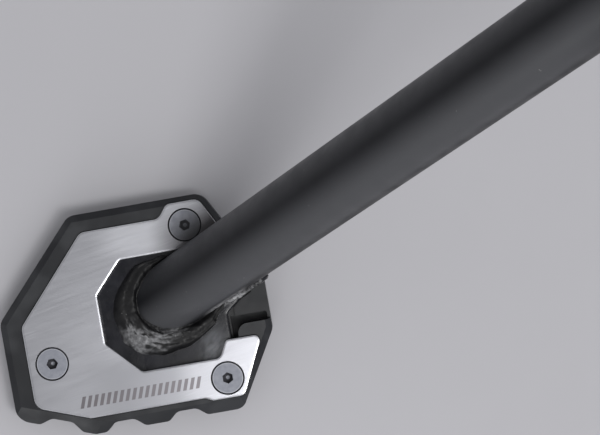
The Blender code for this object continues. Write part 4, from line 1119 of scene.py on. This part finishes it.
def make_pivot_parts(bronze, plated, nylon):
    """The bush in the lug, and the bolt, washers and lock nut that turn with the yoke."""
    bore = BOLT_RADIUS + 0.1 * MM
    half = LUG_HALF_THICKNESS + 0.1 * MM
    bush = soft_solid("bronze_bush", collar(bore, BUSH_RADIUS, -half, half), PIVOT_TURN, 0.25 * MM)
    place_piece(bush, "bracket", bronze, "bronze", "pivot_bush")
    lows = (LUG_HALF_THICKNESS + GAP + 0.1 * MM, -LUG_HALF_THICKNESS - GAP - 1.5 * MM)
    for name, low in zip(("thrust_washer_outer", "thrust_washer_inner"), lows):
        ring = collar(bore + GAP, 12.5 * MM, low, low + 1.4 * MM)
        washer = soft_solid(f"bronze_{name}", ring, PIVOT_TURN, 0.2 * MM)
        place_piece(washer, "leg", bronze, "bronze", name)
    head = CHEEK_OUTER + 0.1 * MM
    nut = -head
    tip = nut - 8.6 * MM
    screw_hole = 2.9 * MM
    flange = 12 * MM
    profile = [(0, tip + 9 * MM), (screw_hole, tip + 9 * MM), (screw_hole, tip), (BOLT_RADIUS - 1 * MM, tip)]
    profile += [(BOLT_RADIUS, tip + 1 * MM), (BOLT_RADIUS, head)]
    profile += [(flange - 0.3 * MM, head), (flange, head + 0.3 * MM), (flange, head + 1.2 * MM)]
    profile += [(flange - 0.5 * MM, head + 1.6 * MM), (flange - 2.4 * MM, head + 2.4 * MM)]
    bolt = solid("flanged_pivot_bolt", turned(profile + [(0, head + 2.4 * MM)]), PIVOT_TURN)
    combine(bolt, hexagon(17 * MM, head + 1.5 * MM, head + 7.8 * MM), PIVOT_TURN, "UNION")
    dish = [(0, head + 6.9 * MM), (5 * MM, head + 7.4 * MM), (5.6 * MM, head + 9 * MM), (0, head + 9 * MM)]
    combine(bolt, turned(dish), PIVOT_TURN)
    soften(bolt, 0.25 * MM)
    place_piece(bolt, "leg", plated, "zinc_plate", "pivot_bolt")
    thick_nut = hexagon(18 * MM, nut - 5.4 * MM, nut, radians(13), True)
    lock_nut = solid("chamfered_lock_nut", thick_nut, PIVOT_TURN)
    combine(lock_nut, rod(BOLT_RADIUS + 0.05 * MM, 40 * MM), PIVOT_TURN)
    soften(lock_nut, 0.2 * MM)
    place_piece(lock_nut, "leg", plated, "zinc_plate", "lock_nut")
    ring = collar(bore, 8 * MM, nut - 7.5 * MM, nut - 5.5 * MM)
    ring = soft_solid("nylon_ring", ring, PIVOT_TURN, 0.5 * MM, 3)
    place_piece(ring, "leg", nylon, "nylon", "nut_locking_ring")


SWITCH_FRONT = -(CHEEK_OUTER + 2 * GAP + 8.4 * MM)
ROTOR_BACK = SWITCH_FRONT - 3.2 * MM
HOUSING_FRONT = ROTOR_BACK - GAP
HOUSING_BACK = HOUSING_FRONT - 8.6 * MM


def make_switch_rotor(finish):
    """The switch's disc on the leg, with grip grooves round its edge."""
    disc = solid("switch_rotor_disc", collar(3 * MM, 13 * MM, ROTOR_BACK, SWITCH_FRONT), PIVOT_TURN)
    groove_at = Matrix.Translation((13.4 * MM, 0, (SWITCH_FRONT + ROTOR_BACK) / 2))
    for k in range(24):
        turn = Matrix.Rotation(2 * pi * k / 24, 4, "Z")
        combine(disc, bar(0.8 * MM, -3 * MM, 3 * MM, 12), PIVOT_TURN @ turn @ groove_at)
    soften(disc, 0.2 * MM)
    place_piece(disc, "leg", finish, "black_plastic", "switch_rotor")


def make_switch(plastic, plated, rubber):
    """The stand switch's housing, the pin in the bracket that holds it, the cable's sleeve and the screw."""
    section = [(3.2 * MM, HOUSING_BACK + 0.5 * MM), (8 * MM, HOUSING_BACK + 0.5 * MM)]
    section += [(8.6 * MM, HOUSING_BACK), (14.6 * MM, HOUSING_BACK), (16 * MM, HOUSING_BACK + 1.4 * MM)]
    section += [(16 * MM, HOUSING_FRONT), (3.2 * MM, HOUSING_FRONT)]
    housing = solid("switch_body", turned(section), PIVOT_TURN)
    reach = SWITCH_PIN_PLACE.length / MM
    aim = SWITCH_PIN_PLACE.normalized()
    half = 4.5
    arm = [(12, -half, 0), (reach, -half, 4.4), (reach + 4.6, 0, 3), (reach, half, 4.4), (12, half, 0)]
    arm = prism(rounded(arm), -HOUSING_FRONT + 0.2 * MM, -HOUSING_FRONT + 4 * MM)
    aimed = frame_matrix(Vector((aim.x, 0, aim.y)), Vector((-aim.y, 0, aim.x)), -Y_AXIS, ORIGIN)
    combine(housing, arm, LEG @ aimed, "UNION")
    at_pin = pivot_frame(SWITCH_PIN_PLACE)
    combine(housing, bar(2.7 * MM, -60 * MM, 0, 48), at_pin)
    outlet = LEG @ Matrix.Translation((0, (HOUSING_FRONT + HOUSING_BACK) / 2, 0))
    combine(housing, bar(3.9 * MM, 10 * MM, 22 * MM), outlet, "UNION")
    combine(housing, bar(2.7 * MM, 19 * MM, 30 * MM), outlet)
    soften(housing, 0.4 * MM, 3)
    place_piece(housing, "bracket", plastic, "black_plastic", "switch_housing")
    sleeve = [(1.5 * MM, 19.3 * MM), (2.5 * MM, 19.3 * MM), (2.5 * MM, 22.1 * MM), (3.9 * MM, 22.1 * MM)]
    for k in range(4):
        height = (22.9 + 1.9 * k) * MM
        radius = (3.85 - 0.14 * k) * MM
        groove = radius - 0.7 * MM
        sleeve += [(radius, height), (groove, height + 0.3 * MM), (groove, height + 0.8 * MM)]
        sleeve.append((radius - 0.1 * MM, height + 1.1 * MM))
    sleeve += [(3.2 * MM, 30 * MM), (1.5 * MM, 30 * MM)]
    gland = soft_solid("ribbed_gland", turned(sleeve), outlet, 0.12 * MM)
    place_piece(gland, "bracket", rubber, "rubber", "cable_gland")
    head = HOUSING_BACK
    button = [(0, head - 2.6 * MM), (3.4 * MM, head - 2.6 * MM), (4.4 * MM, head - 1.8 * MM)]
    button += [(4.4 * MM, head), (2.5 * MM, head)]
    button += [(2.5 * MM, SWITCH_FRONT + 5 * MM), (0, SWITCH_FRONT + 5 * MM)]
    screw = solid("button_head_screw", turned(button), PIVOT_TURN)
    combine(screw, prism(hexagon_outline(3 * MM), head - 4 * MM, head - 1.2 * MM), PIVOT_TURN)
    soften(screw, 0.3 * MM, 3)
    place_piece(screw, "leg", plated, "zinc_plate", "switch_screw")
    end = HOUSING_FRONT - 5.4 * MM
    stub = [(0, end), (2.1 * MM, end), (2.5 * MM, end + 0.4 * MM), (2.5 * MM, 5.6 * MM), (0, 5.6 * MM)]
    pin = soft_solid("switch_locating_pin", turned(stub), at_pin, 0.15 * MM)
    place_piece(pin, "bracket", plated, "zinc_plate", "switch_pin")


# ---------------------------------------------------------------- springs


def rounded_line(points, rounds=2):
    """Cuts the corners of a line of points."""
    for _ in range(rounds):
        cut = [points[0]]
        for here, there in zip(points, points[1:]):
            cut += [here.lerp(there, 0.25), here.lerp(there, 0.75)]
        points = cut + [points[-1]]
    return points


def spring_line(mean_radius, wire_radius, pitch, shift, side):
    """The centre line of a spring with a hook round each pin, in a frame from anchor to post."""
    length = (POST_PLACE - ANCHOR_PLACE).length
    hook = SPRING_PIN_RADIUS - 0.4 * MM + wire_radius
    start = hook + 6 * MM
    turns = round((length - 2 * start) / pitch)
    rise = (length - 2 * start) / turns
    per_turn = 20
    angles = [radians(60 - 240 * k / 20) for k in range(21)]
    first = [Vector((side * hook * cos(a), shift, hook * sin(a))) for a in angles]
    first.append(Vector((-side * hook, shift, 0.4 * start)))
    coil = []
    for k in range(turns * per_turn + 1):
        angle = 2 * pi * k / per_turn
        aside, out = -side * mean_radius * cos(angle), mean_radius * sin(angle)
        coil.append(Vector((aside, out, start + rise * k / per_turn)))
    last = [Vector((p.x, p.y, length - p.z)) for p in reversed(first)]
    return rounded_line(first + coil + last)


def make_springs(finish):
    """Two springs, one inside the other, from the bracket's pin to the leg's post."""
    aim = (POST_PLACE - ANCHOR_PLACE).normalized()
    along = Vector((aim.x, 0, aim.y))
    start = Vector((ANCHOR_PLACE.x, SPRING_PLANE, ANCHOR_PLACE.y))
    place = LEG @ frame_matrix(Y_AXIS.cross(along), Y_AXIS, along, start)
    for size, mean_radius, radius, pitch, shift, side in (
        ("outer", 7.5 * MM, 1.5 * MM, 4.4 * MM, 1.9 * MM, 1),
        ("inner", 4.3 * MM, 1 * MM, 3.4 * MM, -1.5 * MM, -1),
    ):
        line = spring_line(mean_radius, radius, pitch, shift, side)
        bm = bmesh.new()
        wire(bm, line, [radius] * len(line), 12)
        spring = solid(f"{size}_coil_spring", bm, place)
        smooth(spring, 60)
        place_piece(spring, "springs", finish, "spring_steel", f"{size}_spring")


# ---------------------------------------------------------------- studio


SKY_STRENGTH = 0.58
# Height, from the horizon (0) to overhead (1), and brightness.
SKY_LEVELS = ((0.0, 0.25), (0.2, 0.65), (0.45, 1.0), (0.82, 1.15), (0.985, 0.42))
BRIGHT_SIDE = (0.62, -0.78, 0)
CAMERA_PLACE = FOOT_ORIGIN + Vector((69.4, 25.3, 917.2)) * MM
LIGHTS_AIM = FOOT_ORIGIN + Vector((20, 5, 15)) * MM
WARM = (1, 0.995, 0.98)
WHITE = (1, 1, 1)
# Name, offset in metres from the aim, size, power and colour.
LIGHTS = (
    ("key_light", (0.61, -0.58, 1.7), 0.4, 5.2, WARM),
    ("key_light_2", (0.41, -0.39, 1.7), 0.4, 4.6, WARM),
    ("glint_card", (0.033, -0.105, 0.7), 0.12, 0.27, WHITE),
    ("low_card", (-0.36, -0.86, 0.4), 0.42, 1.2, WHITE),
)


def make_floor():
    """A plain pale floor just under the foot."""
    bm = bmesh.new()
    size = 3.0
    middle = Vector((FOOT_ORIGIN.x, FOOT_ORIGIN.y, base_low.z - 0.02 * MM))
    corners = [(-size, -size), (size, -size), (size, size), (-size, size)]
    bm.faces.new([bm.verts.new(middle + Vector((x, y, 0))) for x, y in corners])
    floor = solid("studio_floor", bm)
    made = Finish("studio_floor", Specular_IOR_Level=0.2)
    tone = made.mix(made.grain(4, 3), (0.535, 0.53, 0.56), (0.55, 0.545, 0.575))
    made.surface(tone, made.grain(60, 3, 0.7, 0.85))
    floor.data.materials.append(made.material)


def add_area(name, offset, size, power, colour):
    """A round soft light that looks at the foot, and that the camera doesn't see."""
    light = bpy.data.lights.new(name, "AREA")
    light.shape = "DISK"
    light.size = size
    light.energy = power
    light.color = colour
    lamp = bpy.data.objects.new(name, light)
    bpy.context.scene.collection.objects.link(lamp)
    lamp.location = LIGHTS_AIM + Vector(offset)
    lamp.rotation_euler = Vector(offset).to_track_quat("Z", "Y").to_euler()
    lamp.visible_camera = False


def make_world():
    """A soft surround: dark at the horizon, brightest high up, dim overhead, and brighter on one side."""
    world = bpy.data.worlds.new("studio")
    bpy.context.scene.world = world
    world.use_nodes = True
    nodes, links = world.node_tree.nodes, world.node_tree.links
    direction = nodes.new("ShaderNodeTexCoord").outputs["Generated"]
    split = nodes.new("ShaderNodeSeparateXYZ")
    links.new(direction, split.inputs["Vector"])
    ramp = nodes.new("ShaderNodeValToRGB")
    links.new(split.outputs["Z"], ramp.inputs["Fac"])
    for index, (place, level) in enumerate(SKY_LEVELS):
        stop = ramp.color_ramp.elements[index] if index < 2 else ramp.color_ramp.elements.new(place)
        stop.position = place
        stop.color = (level * 0.98, level * 0.985, level, 1)
    towards = nodes.new("ShaderNodeVectorMath")
    towards.operation = "DOT_PRODUCT"
    links.new(direction, towards.inputs[0])
    towards.inputs[1].default_value = BRIGHT_SIDE
    strength = nodes.new("ShaderNodeMath")
    strength.operation = "MULTIPLY_ADD"
    links.new(towards.outputs["Value"], strength.inputs[0])
    strength.inputs[1].default_value = 0.42 * SKY_STRENGTH
    strength.inputs[2].default_value = SKY_STRENGTH
    background = nodes["Background"]
    links.new(ramp.outputs["Color"], background.inputs["Color"])
    links.new(strength.outputs["Value"], background.inputs["Strength"])


def make_studio():
    make_floor()
    make_world()
    for light in LIGHTS:
        add_area(*light)
    bpy.context.scene.view_settings.view_transform = "Standard"


def make_camera():
    """Straight above the foot, turned so that the foot's long side climbs a little to the right."""
    data = bpy.data.cameras.new("camera")
    data.lens = 135
    data.sensor_width = 36
    camera = bpy.data.objects.new("camera", data)
    camera.location = CAMERA_PLACE
    camera.rotation_euler = (0, 0, radians(-10))
    bpy.context.scene.collection.objects.link(camera)
    bpy.context.scene.camera = camera


def main():
    make_camera()
    make_studio()
    powder = powder_coat()
    welded = weld_paint()
    zinc = plain_metal("zinc_plate", (0.42, 0.44, 0.47), (0.6, 0.62, 0.64), 0.25, 0.42, 260)
    bronze = plain_metal("bronze", (0.4, 0.25, 0.11), (0.55, 0.37, 0.18), 0.25, 0.42, 320)
    steel_tones = (0.26, 0.27, 0.31), (0.32, 0.33, 0.37)
    steel = plain_metal("screw_steel", *steel_tones, 0.5, 0.6, 500, 0.7, screw_painted_light)
    sprung = plain_metal("spring_steel", (0.07, 0.07, 0.075), (0.14, 0.14, 0.145), 0.3, 0.48, 420)
    plastic = moulded("black_plastic", (0.014, 0.014, 0.015), (0.022, 0.022, 0.024), 0.42, 0.55, 1800, 0.2)
    cast = moulded("cast_black", (0.014, 0.014, 0.015), (0.028, 0.028, 0.03), 0.45, 0.6, 900, 0.45)
    nylon = moulded("nylon", (0.04, 0.1, 0.3), (0.055, 0.13, 0.36), 0.4, 0.5, 900, 0.1)
    rubber = moulded("rubber", (0.012, 0.012, 0.012), (0.02, 0.02, 0.02), 0.7, 0.85, 1500, 0.2)
    make_extension_base(black_anodised())
    make_clamp_plate(brushed_plate())
    make_clamp_screws(steel)
    make_foot_plate(foot_paint())
    make_leg_tube(powder)
    make_foot_weld(welded)
    make_pivot_yoke(powder)
    make_yoke_weld(welded)
    make_spring_pins(zinc, welded)
    make_mount_bracket(cast)
    make_pivot_parts(bronze, zinc, nylon)
    make_switch_rotor(plastic)
    make_switch(plastic, zinc, rubber)
    make_springs(sprung)


main()
